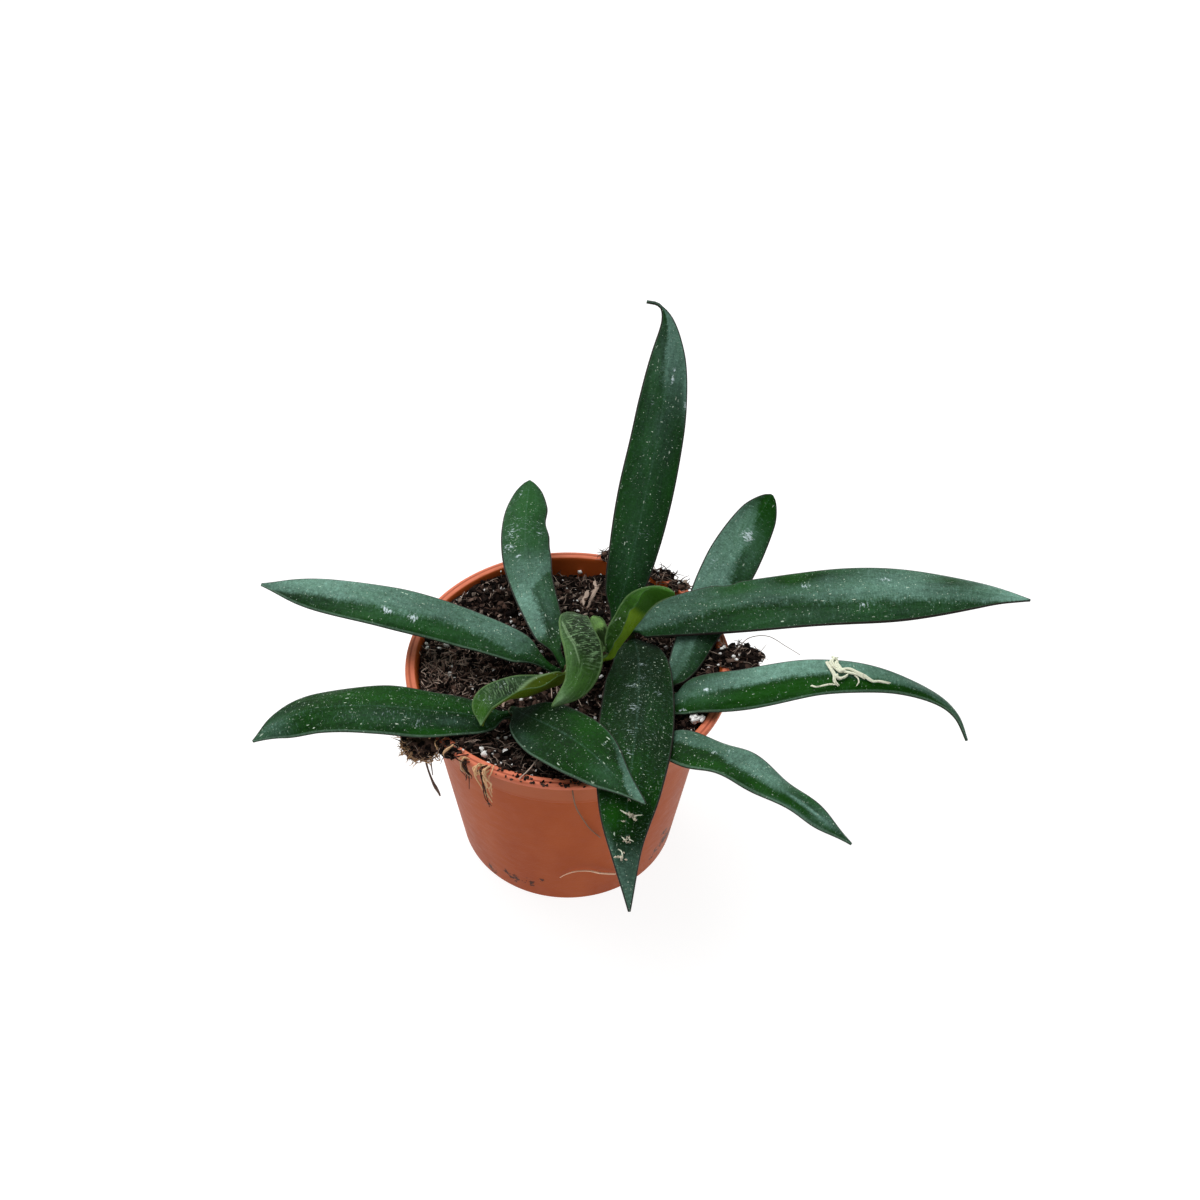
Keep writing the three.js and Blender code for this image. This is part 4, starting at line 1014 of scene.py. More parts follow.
def potFinish():
    finish, tree, surface = newFinish("potPlastic")
    place = objectPlace(tree)
    clouds = cloudsOf(tree, stretched(tree, place, (1, 1, 0.5)), 45, 4, 0.6)
    colour = blendOf(tree, rangeOf(tree, clouds, 0.3, 0.7), potLook["plastic"], potLook["paler"])
    haze = cloudsOf(tree, stretched(tree, place, (1, 1, 2.5)), 160, 5, 0.7)
    colour = blendOf(tree, rangeOf(tree, haze, 0.58, 0.8, 0, 0.35, True), colour, potLook["dust"])
    parts = partsOf(tree, place)
    radius = mathOf(tree, "SQRT", plusOf(tree, timesOf(tree, parts["X"], parts["X"]),
                                         timesOf(tree, parts["Y"], parts["Y"])))
    collarFoot = (potSize["height"] - potSize["collarHeight"] + 0.5) * mm
    onCollar = rangeOf(tree, parts["Z"], collarFoot, collarFoot + 2 * mm, 0, 0.55, True)
    colour = blendOf(tree, timesOf(tree, onCollar, rangeOf(tree, haze, 0.3, 0.6, 0.5, 1)), colour,
                     potLook["collar"])
    # the collar's inner face, told by its radius at each height, painted brighter than the outside plastic:
    # painted light where little light reaches inside the collar
    inner = mathOf(tree, "SUBTRACT", radius, timesOf(tree, parts["Z"], potLook["insideSlope"]))
    isInside = timesOf(tree, mathOf(tree, "LESS_THAN", inner, potLook["insideRadius"] * mm),
                       mathOf(tree, "GREATER_THAN", parts["Z"], collarFoot))
    colour = blendOf(tree, timesOf(tree, isInside, 0.9), colour, potLook["inside"])
    # the lip's top is painted paler, a painted highlight where it catches the light from above, with a fine
    # line of painted shade round it for a groove
    litLipFrom = (potSize["rimRadius"] - potLook["litLipWidth"]) * mm
    litLip = rangeOf(tree, parts["Z"], (potSize["height"] - 3) * mm, (potSize["height"] - 1) * mm, 0, 1, True)
    litLip = timesOf(tree, litLip, rangeOf(tree, radius, litLipFrom, litLipFrom + 0.5 * mm, 0, 0.85, True))
    litLip = timesOf(tree, litLip, rangeOf(tree, haze, 0.3, 0.6, 0.6, 1))
    colour = blendOf(tree, litLip, colour, potLook["lip"])
    # the groove is only painted: a thin line of painted shade, as the wall's shape has no groove
    grooveRadius = (potSize["rimRadius"] - potLook["grooveIn"]) * mm
    grooveShade = sizeOf(tree, mathOf(tree, "SUBTRACT", radius, grooveRadius))
    grooveShade = timesOf(tree, litLip, rangeOf(tree, grooveShade, 0.2 * mm, 0.5 * mm, 1, 0, True))
    colour = blendOf(tree, grooveShade, colour, potLook["grooveShade"])
    specks = cloudsOf(tree, place, potLook["speckFineness"], 4, 0.6)
    for at, reach in potLook["smears"]:
        spread = tree.nodes.new("ShaderNodeVectorMath")
        spread.operation = "DISTANCE"
        tree.links.new(place, spread.inputs[0])
        spread.inputs[1].default_value = [v * mm for v in at]
        near = rangeOf(tree, spread.outputs["Value"], 0, reach * mm, potLook["speckNear"], 0)
        smear = rangeOf(tree, plusOf(tree, specks, near), *potLook["speckFrom"], 0, 1, True)
        smear = timesOf(tree, smear, mathOf(tree, "GREATER_THAN", near, 0.001))
        colour = blendOf(tree, smear, colour, potLook["stain"])
    feed(tree, surface.inputs["Base Color"], colour)
    low, high = potLook["roughness"]
    feed(tree, surface.inputs["Roughness"], rangeOf(tree, haze, 0.3, 0.7, low, high))
    surface.inputs["Specular IOR Level"].default_value = potLook["specular"]
    grain = cloudsOf(tree, place, 1400, 3)
    roughened(tree, surface, grain, 0.00012, 0.5)
    return finish


def potSkin():
    # the wall's profile, turned about the axis, with its corners rounded
    p = potSize
    foot = p["height"] - p["collarHeight"]
    lip = p["height"] - p["lipHeight"]
    floorTop = p["footLift"] + p["floor"]
    r, step, wall = p["edgeRound"], p["collarStep"], p["wall"]
    corners = [
        (0.01, 0, 0), (p["discRadius"], 0, 0.5), (p["discRadius"] + p["footLift"], p["footLift"], 0.4),
        (p["footRadius"] - p["footRingWidth"], p["footLift"], 0.4),
        (p["footRadius"] - p["footRingWidth"] + r, 0, 0.4), (p["footRadius"] - 0.2, 0, 1.0),
        (p["wallTopRadius"], foot - step, 0.8), (p["collarFootRadius"], foot, 0.8),
        (p["collarTopRadius"], lip - 0.3, 0.4), (p["rimRadius"], lip, 0.7),
        (p["rimRadius"], p["height"], 0.9), (p["collarTopRadius"] - r - 0.2, p["height"], 0.7),
        (p["collarTopRadius"] - wall, p["height"] - step, 0.7),
        (p["collarFootRadius"] - wall, foot + step, 0.6), (p["wallTopRadius"] - wall, foot - step, 0.6),
        (p["footRadius"] - wall, floorTop, 1.5), (0.01, floorTop, 0),
    ]
    profile = []
    for i, (x, z, bend) in enumerate(corners):
        if bend == 0:
            profile.append((x, z))
            continue
        here = np.array((x, z), float)
        before = np.array(corners[i - 1][:2], float) - here
        after = np.array(corners[i + 1][:2], float) - here
        first = here + before / np.linalg.norm(before) * min(bend, np.linalg.norm(before) * 0.45)
        last = here + after / np.linalg.norm(after) * min(bend, np.linalg.norm(after) * 0.45)
        for t in np.linspace(0, 1, 5):
            profile.append(tuple((1 - t) ** 2 * first + 2 * t * (1 - t) * here + t * t * last))
    turns = np.arange(p["sides"]) / p["sides"] * 2 * np.pi
    rings = [np.stack([np.cos(turns) * x, np.sin(turns) * x, np.full(len(turns), z)], axis=1)
             for x, z in profile]
    return np.vstack(rings) * mm, skinFaces(len(profile), p["sides"])


def makePot():
    points, faces = potSkin()
    pot = addPiece("pot_wall", points, faces, potFinish(), ["pot"])
    cutter = bpy.data.meshes.new("drainCutter")
    allPoints, allFaces = [], []
    for i in range(potSize["drainHoles"]):
        turn = (i + 0.5) / potSize["drainHoles"] * 2 * np.pi
        x, y = np.cos(turn) * potSize["drainCircleRadius"], np.sin(turn) * potSize["drainCircleRadius"]
        holePoints, holeFaces = tube([(x, y, -2), (x, y, 6)], [potSize["drainHoleRadius"]] * 2, 24, 2)
        allFaces += [tuple(v + len(allPoints) for v in face) for face in holeFaces]
        allPoints += list(holePoints)
    cutter.from_pydata([tuple(p) for p in allPoints], [], allFaces)
    tool = bpy.data.objects.new("drainCutter", cutter)
    bpy.context.scene.collection.objects.link(tool)
    cut = pot.modifiers.new("drainHoles", "BOOLEAN")
    cut.object = tool
    cut.operation = "DIFFERENCE"
    cut.solver = "EXACT"
    graph = bpy.context.evaluated_depsgraph_get()
    whole = bpy.data.meshes.new_from_object(pot.evaluated_get(graph))
    pot.modifiers.clear()
    pot.data = whole
    bpy.data.objects.remove(tool)
    print("pot made")


# the soil: its bed has the frame's own heights, with clods, crumbs, fibres and grains on it

soil = {
    "bottom": 3.4,
    "level": 83.3,
    "levelRadius": 36,
    # heights at the wall, twelve round the pot from the right-hand side by way of the back
    "edgeHeights": [88.2, 88.4, 87.6, 81.5, 88.2, 89, 87.2, 87.5, 88.4, 87.6, 86.8, 87],
    "edgeRadius": 55,
    "crumbHeight": 1.1,
    "gap": 0.3,
    "rings": 84,
    "sides": 220,
    "clodHeight": 1.5,
    "crumbs": 6500,
    "crumbSizes": (0.35, 1.3),  # the least and what random draws add
    "fibres": 4300,
    "fibreLengths": (1.2, 4.5),
    "spotHeight": 87,
    # paler fibres at the left: painted light on the soil that the long left leaf shades
    "leftPaleFibres": 420,
    "paleFibrePlace": ((-44, 8), (-2, 9)),  # middle and spread across and in depth
    "chips": 170,
    "seed": 7,
}

# lumps of soil on the rim
spills = {
    "right": {"at": (62.8, 2.8, 89.8), "half": (9.2, 6.5, 2.7), "seed": 3},
    "farRight": {"at": (52, 24, 89.6), "half": (6.5, 8, 2), "seed": 8},
    "backRight": {"at": (35, 47.6, 89.4), "half": (4.4, 3, 1.5), "seed": 5},
    "backRightLow": {"at": (41.6, 42, 89), "half": (4, 3, 1.1), "seed": 6},
    "back": {"at": (13.6, 57.6, 89.2), "half": (2.8, 2.4, 1.8), "seed": 9},
    "left": {"at": (-49.5, -37, 85.5), "half": (7.6, 8.6, 5.6), "seed": 11, "brown": 0.5},
    "frontLeft": {"at": (-37.5, -42.5, 88), "half": (6, 5, 2), "seed": 14},
}

soilLook = {
    # near black: the peat's own dark colour and painted shade in the gaps between crumbs
    "dark": (0.006, 0.004, 0.0035),
    "brown": (0.17, 0.1, 0.076),
    "tan": (0.72, 0.56, 0.46),
    "gold": (0.8, 0.5, 0.27),
    "roughness": 0.85,
    "specular": 0.05,
}


def soilFinish(name):
    finish, tree, surface = newFinish(name)
    place = objectPlace(tree)
    tone = partsOf(tree, attributeOf(tree, "tone"))
    clouds = cloudsOf(tree, place, 900, 5, 0.7)
    share = plusOf(tree, rangeOf(tree, clouds, 0.45, 0.75, 0, 0.3), tone[0], True)
    colour = blendOf(tree, share, soilLook["dark"], soilLook["brown"])
    colour = blendOf(tree, tone[1], colour, soilLook["tan"])
    colour = blendOf(tree, tone[2], colour, soilLook["gold"])
    feed(tree, surface.inputs["Base Color"], colour)
    surface.inputs["Roughness"].default_value = soilLook["roughness"]
    surface.inputs["Specular IOR Level"].default_value = soilLook["specular"]
    roughened(tree, surface, clouds, 0.0006)
    return finish


def soilHeight(x, y):
    coarse = np.sin(x * 0.21 + 1.3) * np.sin(y * 0.24 - 0.6)
    middle = np.sin(x * 0.53 - y * 0.37 + 2.1) * np.sin(y * 0.61 + x * 0.18)
    fine = np.sin(x * 1.13 + y * 0.4) * np.sin(y * 0.97 - x * 0.55 + 0.8)
    bumps = soil["crumbHeight"] * (0.8 * coarse + 0.6 * middle + 0.4 * fine)
    heights = np.array(soil["edgeHeights"])
    turn = (np.arctan2(y, x) / (2 * np.pi) + 1) * len(heights)
    first = np.floor(turn).astype(int)
    here, there = heights[first % len(heights)], heights[(first + 1) % len(heights)]
    edge = here + (there - here) * smoothStep(turn - first)
    wall = potSize["collarTopRadius"]
    nearWall = smoothStep((np.hypot(x, y) - soil["levelRadius"]) / (wall - soil["levelRadius"]))
    return soil["level"] + (edge - soil["level"]) * nearWall + bumps * (1 - 0.6 * nearWall)


def clods(place):
    # loose clods: sharp small heaps with dark gaps between them
    rough = noise.fractal(Vector(place) * 0.35, 1.0, 2.1, 4)
    sharp = 1 - abs(noise.noise(Vector(place) * 0.55 + Vector((7, 3, 1)))) * 2
    return soil["clodHeight"] * (0.7 * rough + 0.45 * sharp - 0.2)


def innerRadius(height):
    # radius of the collar's inner face
    p = potSize
    share = (height - p["height"] + p["collarHeight"]) / p["collarHeight"]
    return p["collarFootRadius"] + (p["collarTopRadius"] - p["collarFootRadius"]) * share - p["wall"]


def makeSoilBed(finish):
    p = potSize
    foot = p["height"] - p["collarHeight"]
    inside = p["wall"] + soil["gap"]
    turns = np.arange(soil["sides"]) / soil["sides"] * 2 * np.pi
    rings = []
    lower = [(0.5, soil["bottom"]), (p["footRadius"] - inside - p["collarStep"], soil["bottom"]),
             (p["footRadius"] - inside, soil["bottom"] + p["collarStep"]),
             (p["wallTopRadius"] - inside, foot - p["collarStep"])]
    for radius, height in lower:
        ring = [np.cos(turns) * radius, np.sin(turns) * radius, np.full(len(turns), height)]
        rings.append(np.stack(ring, 1))
    near = soil["edgeRadius"]
    edge = innerRadius(soilHeight(np.cos(turns) * near, np.sin(turns) * near)) - soil["gap"]
    for share in np.linspace(1, 0.01, soil["rings"]):
        x, y = np.cos(turns) * edge * share, np.sin(turns) * edge * share
        z = soilHeight(x, y) + np.array([clods((a, b, 0)) for a, b in zip(x, y)]) * min(1, (1 - share) * 20)
        rings.append(np.stack([x, y, z], axis=1))
    heap = Heap()
    heap.add(np.vstack(rings) * mm, skinFaces(len(rings), soil["sides"]), (0, 0, 0))
    for spill in spills.values():
        points, faces = lumpSkin(spill)
        heap.add(points, faces, (spill.get("brown", 0), 0, 0))
    heap.place("soil_bed", finish, "soil", ["soil"])


def lumpSkin(spill, sides=48, rows=28):
    turns = np.arange(sides) / sides * 2 * np.pi
    rings = []
    for row in range(1, rows):
        tilt = np.pi * row / rows - np.pi / 2
        bump = (1 + 0.1 * np.sin(turns * 3 + spill["seed"]) * np.cos(tilt * 2 + spill["seed"])
                + 0.08 * np.sin(turns * 5 - spill["seed"] * 2 + tilt * 4))
        ring = np.stack([spill["at"][0] + spill["half"][0] * bump * np.cos(tilt) * np.cos(turns),
                         spill["at"][1] + spill["half"][1] * bump * np.cos(tilt) * np.sin(turns),
                         spill["at"][2] + spill["half"][2] * bump * np.sin(tilt)], axis=1)
        centre = np.array(spill["at"])
        for i, point in enumerate(ring):
            out = (point - centre) / np.linalg.norm(point - centre)
            ring[i] = point + out * (clods(tuple(point)) * 0.5 - 0.3)
        rings.append(ring)
    return np.vstack(rings) * mm, skinFaces(len(rings), sides)


def randomWay(rng):
    way = rng.normal(size=3)
    return way / np.linalg.norm(way)


def onSoil(x, y):
    return np.array([x, y, float(soilHeight(x, y)) + clods((x, y, 0))])


def soilReach():
    # how far out loose pieces lie, just clear of the wall
    return innerRadius(soil["spotHeight"]) - 1


def soilSpot(rng, onSpills=0.16):
    # a random place on top of the soil, or on one of the lumps beside it
    if rng.random() > onSpills:
        radius = soilReach() * math.sqrt(rng.random())
        turn = rng.random() * 2 * math.pi
        return onSoil(radius * math.cos(turn), radius * math.sin(turn))
    spill = list(spills.values())[rng.integers(len(spills))]
    way = randomWay(rng)
    way[2] = abs(way[2])
    return np.array(spill["at"]) + way * np.array(spill["half"]) * 0.96


def ballMesh(levels):
    shape = bmesh.new()
    bmesh.ops.create_icosphere(shape, subdivisions=levels, radius=1)
    points = np.array([tuple(v.co) for v in shape.verts])
    shape.verts.index_update()
    faces = [tuple(v.index for v in f.verts) for f in shape.faces]
    shape.free()
    return points, faces


def pebble(rng, size, ball, flatness=0.7, uneven=0.28):
    # a rough little stone: a ball of a few faces with uneven corners
    shape = 1 + rng.uniform(-uneven, uneven, size=(len(ball[0]), 1))
    stretch = size * np.array([1, rng.uniform(0.6, 1), rng.uniform(0.5, 1) * flatness])
    turn = Matrix.Rotation(rng.random() * 6.28, 3, "Z") @ Matrix.Rotation(rng.normal() * 0.6, 3, "X")
    return (ball[0] * shape * stretch) @ np.array(turn).T


def makeCrumbs(finish):
    rng = np.random.default_rng(soil["seed"])
    ball = ballMesh(1)
    heap = Heap()
    least, more = soil["crumbSizes"]
    for _ in range(soil["crumbs"]):
        size = least + more * rng.random() ** 3
        spot = soilSpot(rng) + (0, 0, size * 0.25)
        tan = 0.5 * rng.random() if rng.random() < 0.04 else 0
        heap.add((pebble(rng, size, ball) + spot) * mm, ball[1], (rng.random() ** 2.5 * 0.8 - 0.2, tan, 0))
    heap.place("soil_crumbs", finish, "soil", smooth=False)


def fibre(rng, spot, length, radius, rise=0.3, bending=0.5):
    # a short bent fibre lying on the soil
    way = rng.random() * 2 * math.pi
    bend = rng.normal() * bending
    places = [np.array(spot)]
    for step in range(4):
        way += bend * 0.4 + rng.normal() * 0.2 * bending
        lift = rise * (1.2 - step / 2) + rng.normal() * 0.12
        places.append(places[-1] + np.array([math.cos(way), math.sin(way), lift]) * length / 4)
    return tube(places, [radius, radius * 0.9, radius * 0.4], 3, 6)


# pale fibres that stand out: their ends in mm
paleFibres = [
    [(-56.3, 4.3, 88.1), (-54.9, 1.9, 87.9)], [(-53.9, -6.7, 87.8), (-52, -4.2, 87.9)],
    [(-48.7, -10.8, 87), (-46.5, -11.2, 86.7)], [(-47.9, -8.9, 86.8), (-45.5, -10.6, 86.6)],
    [(-53.3, -11.3, 87.9), (-52.1, -13.2, 87.8)],
    [(11.1, -16.6, 84.8), (13, -20.4, 85), (13.5, -25.2, 84.6)], [(16.2, -14.5, 84.8), (14.4, -18.4, 84.8)],
    [(3.8, -14.9, 84.8), (5.4, -18.8, 84.8)], [(-6.4, -6.4, 85.1), (-5.6, -15.3, 85.1)],
    [(-4.2, -6.3, 84.8), (-3.9, -12.8, 84.8)],
]


def makeFibres(finish):
    rng = np.random.default_rng(soil["seed"] + 1)
    heap = Heap()
    least, more = soil["fibreLengths"]
    for _ in range(soil["fibres"]):
        length = least + more * rng.random() ** 1.5
        spot = soilSpot(rng)
        points, faces = fibre(rng, spot, length, 0.12 + 0.12 * rng.random(), 0.35)
        heap.add(points, faces, (rng.random() ** 2, 0.8 * rng.random() ** 3, 0))
    # more and paler ones at the left: pale fibres, set thicker there as painted light on the soil that the
    # long left leaf shades
    for _ in range(soil["leftPaleFibres"]):
        x, y = [rng.normal(middle, spread) for middle, spread in soil["paleFibrePlace"]]
        if math.hypot(x, y) > soilReach():
            continue
        spot = onSoil(x, y) + (0, 0, 0.3)
        points, faces = fibre(rng, spot, rng.uniform(1.2, 4.5), rng.uniform(0.14, 0.24), 0.4)
        heap.add(points, faces, (1, 0.9 * rng.random() ** 1.5, 0))
    for path in paleFibres:
        points, faces = tube(path, [0.16, 0.2, 0.12], 4, 16)
        heap.add(points, faces, (1, 1, 0))
    heap.place("soil_fibres", finish, "soil")


# splinters of bark behind the middle, one line of them, and two at the back: ends in mm, half width, tone
splinters = [
    ((9.9, 44.5, 85.2), (6.4, 36.4, 84.8), 0.8, 0.55), ((8.2, 49.5, 84.6), (9.4, 43, 84.9), 0.55, 0.7),
    ((6.2, 42.5, 85.2), (4.2, 35.4, 84.8), 0.9, 0.6), ((11, 47, 84.8), (7.4, 41.5, 84.9), 0.5, 0.35),
    ((4.8, 39.5, 85), (2.2, 37.4, 84.7), 0.6, 0.3), ((7.8, 37.8, 85), (5.8, 33.5, 84.5), 0.5, 0.3),
    ((-46.5, 30.5, 88.6), (-42, 27, 88), 0.45, 0.3), ((-50, 4, 87), (-50, -0.5, 87), 0.4, 0.2),
]


def makeChips(finish):
    # flat flakes and splinters of bark
    rng = np.random.default_rng(soil["seed"] + 2)
    ball = ballMesh(2)
    heap = Heap()
    flakes = [(np.array(first), np.array(last), half, tan) for first, last, half, tan in splinters]
    for _ in range(soil["chips"]):
        spot = soilSpot(rng) + (0, 0, 0.4)
        turn = rng.random() * 6.28
        reach = np.array([math.cos(turn), math.sin(turn), rng.normal() * 0.3])
        reach = reach * (0.8 + 1.8 * rng.random() ** 2)
        flakes.append((spot - reach, spot + reach, 0.3 + 0.4 * rng.random(), rng.random() ** 3 * 0.5))
    for first, last, half, tan in flakes:
        length = np.linalg.norm(last - first)
        rough = 1 + rng.uniform(-0.4, 0.4, size=(len(ball[0]), 1))
        shape = ball[0] * rough * (length / 2, half, 0.28)
        shape[:, 1] += np.sin(shape[:, 0] * 1.3 + rng.random() * 6) * 0.25
        turn = Vector((1, 0, 0)).rotation_difference(Vector(last - first)).to_matrix()
        heap.add((shape @ np.array(turn).T + (first + last) / 2) * mm, ball[1], (rng.random(), tan, 0))
    heap.place("bark_flakes", finish, "soil", smooth=False)


perlite = {
    "white": (0.95, 0.94, 0.92),
    "grey": (0.62, 0.6, 0.57),
    "grains": 620,
    "onSpills": 0.24,  # share of them on the lumps beside the soil
    "sizes": (0.16, 0.7),
    # larger grains: place and size
    "lumps": [((2.5, 54, 84), 1.0), ((-27.5, 39.9, 86.9), 0.95), ((-34.3, 37.9, 88), 0.45),
              ((-28.6, 48.1, 88.7), 0.5), ((-38.6, 35.2, 88.5), 0.4), ((-23, 23.9, 84.4), 0.7),
              ((-23.4, 26.7, 84.4), 0.4), ((-53, 5.8, 87.5), 0.8), ((-46.2, 8.7, 86.2), 1.1),
              ((-43.3, -1.3, 85.2), 0.8), ((-43.6, -5.5, 85.3), 1), ((-34.7, -11.4, 84.4), 0.5),
              ((-28.7, -43.8, 88.3), 1.3), ((-27.4, -46.1, 88.6), 1.3), ((-26.6, -44.6, 88.4), 0.9),
              ((-25.7, -50.2, 88.9), 0.9), ((-20.5, -43.2, 87), 1.2), ((-21, -35, 85), 0.7),
              ((-23.8, -35.6, 85.4), 0.5), ((-23.3, -50.3, 88.7), 0.4), ((-10.7, -54.2, 88.2), 0.5),
              ((-9.1, -55.6, 88.3), 0.5), ((11.3, 23.2, 84.6), 1.4), ((12, -4.1, 84.6), 1),
              ((12, -13.7, 84.6), 0.7), ((-2.4, 44.6, 83.8), 0.4), ((55.6, 10.2, 91.4), 0.6),
              ((55.7, 3.2, 91.6), 0.7), ((54.9, -1.8, 90.6), 0.6), ((60.6, 1, 92.2), 0.8),
              ((61.5, -0.4, 92.2), 0.7), ((62.5, 1.9, 92.4), 0.5), ((28.2, 20.5, 84.6), 0.7),
              ((36.3, 12, 84.8), 0.9), ((15.6, -22, 84.4), 0.5), ((3.3, -20.5, 84.4), 0.6),
              ((7.2, -16.5, 84.4), 0.5)],
    # one crumbly cluster on the rim at the right: middle, reach, grains
    "cluster": ((46.4, -28.2, 89.8), (2.3, 1.6, 0.9), 26),
    "seed": 21,
}


def makePerlite():
    finish, tree, surface = newFinish("perlite")
    place = objectPlace(tree)
    clouds = cloudsOf(tree, place, 1200, 4, 0.7)
    colour = blendOf(tree, rangeOf(tree, clouds, 0.35, 0.55), perlite["grey"], perlite["white"])
    feed(tree, surface.inputs["Base Color"], colour)
    surface.inputs["Roughness"].default_value = 0.8
    roughened(tree, surface, clouds, 0.0004)
    rng = np.random.default_rng(perlite["seed"])
    ball = ballMesh(2)
    heap = Heap()
    grains = [(np.array(at), size) for at, size in perlite["lumps"]]
    least, more = perlite["sizes"]
    for _ in range(perlite["grains"]):
        grains.append((soilSpot(rng, perlite["onSpills"]), least + more * rng.random() ** 4))
    middle, reach, count = perlite["cluster"]
    for _ in range(count):
        grains.append((np.array(middle) + rng.normal(size=3) * np.array(reach) * 0.5, rng.uniform(0.4, 1.1)))
    for spot, size in grains:
        heap.add((pebble(rng, size, ball, 0.9, 0.24) + spot + (0, 0, size * 0.5)) * mm, ball[1], (0, 0, 0))
    heap.place("perlite_grains", finish, "soil")


# what lies on the rim and hangs over it, in mm
rim = {
    # roots and hairs: path, radii, tones (brown, tan, gold)
    "rootlets": [
        ([(-49, -40, 83), (-48.3, -43, 79), (-46, -46.5, 73.5), (-44, -48.5, 70.5), (-43.6, -48.8, 69.2)],
         [0.7, 0.42, 0.36, 0.42, 0.66, 0.3], (0.6, 0.1, 0)),
        ([(-46, -38, 86), (-46.8, -42, 81), (-46, -46, 77)], [0.4, 0.3, 0.15], (0.5, 0.1, 0)),
        ([(3, -58.5, 90), (3.6, -60.2, 86), (4.4, -57, 76), (6.2, -53.4, 66), (9.5, -50.5, 55),
          (13.4, -48, 46.5)],
         [0.26, 0.26, 0.24, 0.2], (1, 0, 0.12)),
        ([(62, 5, 92), (66, 8.5, 94.8), (73, 8.6, 96.2), (80, 5, 94.6), (85, 2, 93.4)],
         [0.16, 0.14, 0.1], (0.6, 0.2, 0)),
        ([(-5.7, -36.8, 86), (-8.4, -45.5, 88.6), (-11.4, -52.7, 90.2), (-14.8, -57.9, 90.8)],
         [0.3, 0.3, 0.2], (1, 0.8, 0)),
    ],
    # tufts of curly fibres: angle in degrees, spread, how far they hang, how many, gold
    "tufts": [
        (217, 3, 2, 9, 0.8), (224, 2, 3, 8, 1), (229, 1.4, 2, 4, 0.9), (235.5, 0.3, 10, 4, 1),
        (236.5, 0.3, 15, 4, 0.5), (242.9, 0.3, 21, 4, 1), (244.8, 0.3, 15, 4, 0.9), (241, 0.8, 3, 3, 1),
    ],
    # how the tufts go over the rim: radius, height, share of the drop
    "tuftPath": [(57, 89.4, 0), (60.2, 90.5, 0), (60.8, 88.6, 0), (59.6, 88, 0.4), (58.8, 88, 0.7),
                 (58, 88, 1)],
    "tuftRadii": (0.2, 0.38),
    "brightTufts": 0.7,
    "wallSlope": 0.13,
    # crumbs on the lip at the front
    "crumbs": 70,
    "crumbAngles": (247, 277),
    "crumbRadii": (56, 60.4),
    "crumbSizes": (0.3, 0.85),
    "crumbHeight": 90.2,
    # curly fibres through the clump at the left
    "clumpFibres": 620,
    "clumpLengths": (1.5, 4.5),
    "clumpRadii": (0.14, 0.3),
}


def makeRootlets(finish):
    rng = np.random.default_rng(soil["seed"] + 3)
    heap = Heap()
    ball = ballMesh(1)
    foot = potSize["height"] - potSize["collarHeight"]
    for path, radii, tones in rim["rootlets"]:
        points, faces = tube(path, radii, 8, 40)
        heap.add(points, faces, tones)
    for angle, spread, hang, count, gold in rim["tufts"]:
        for _ in range(count):
            turn = math.radians(angle + rng.normal() * spread)
            drop = hang * rng.uniform(0.45, 1)
            path = []
            for radius, level, share in rim["tuftPath"]:
                height = level - drop * share
                curl = turn + rng.normal() * 0.016
                out = radius - max(0, foot - height) * rim["wallSlope"] + rng.uniform(0, 1.6)
                path.append((out * math.cos(curl), out * math.sin(curl), height + rng.normal() * 0.8))
            width = rng.uniform(*rim["tuftRadii"])
            points, faces = tube(path, [width, width, width * 0.5], 5, 30)
            bright = rng.random() < rim["brightTufts"]
            heap.add(points, faces, (1, 0.5, gold) if bright else (0.2, 0, 0))
    # crumbs on the lip at the front
    for _ in range(rim["crumbs"]):
        turn = math.radians(rng.uniform(*rim["crumbAngles"]))
        size = rng.uniform(*rim["crumbSizes"])
        out = rng.uniform(*rim["crumbRadii"])
        spot = np.array([out * math.cos(turn), out * math.sin(turn), rim["crumbHeight"]])
        heap.add((pebble(rng, size, ball, 0.7, 0.4) + spot) * mm, ball[1], (0.4 * rng.random(), 0, 0))
    # curly fibres through the clump at the left
    clump = spills["left"]
    for _ in range(rim["clumpFibres"]):
        way = randomWay(rng)
        way[2] = abs(way[2]) - 0.35
        spot = np.array(clump["at"]) + way * np.array(clump["half"]) * rng.uniform(0.95, 1.1)
        length, radius = rng.uniform(*rim["clumpLengths"]), rng.uniform(*rim["clumpRadii"])
        points, faces = fibre(rng, spot, length, radius, 0.1, 1.2)
        # their gold is bright: the roots' own colour, set lighter as painted light on the clump that the low
        # left leaf shades
        heap.add(points, faces, (1, 0.3 * rng.random(), rng.uniform(0.3, 1)))
    heap.place("rootlets", finish, "soil")


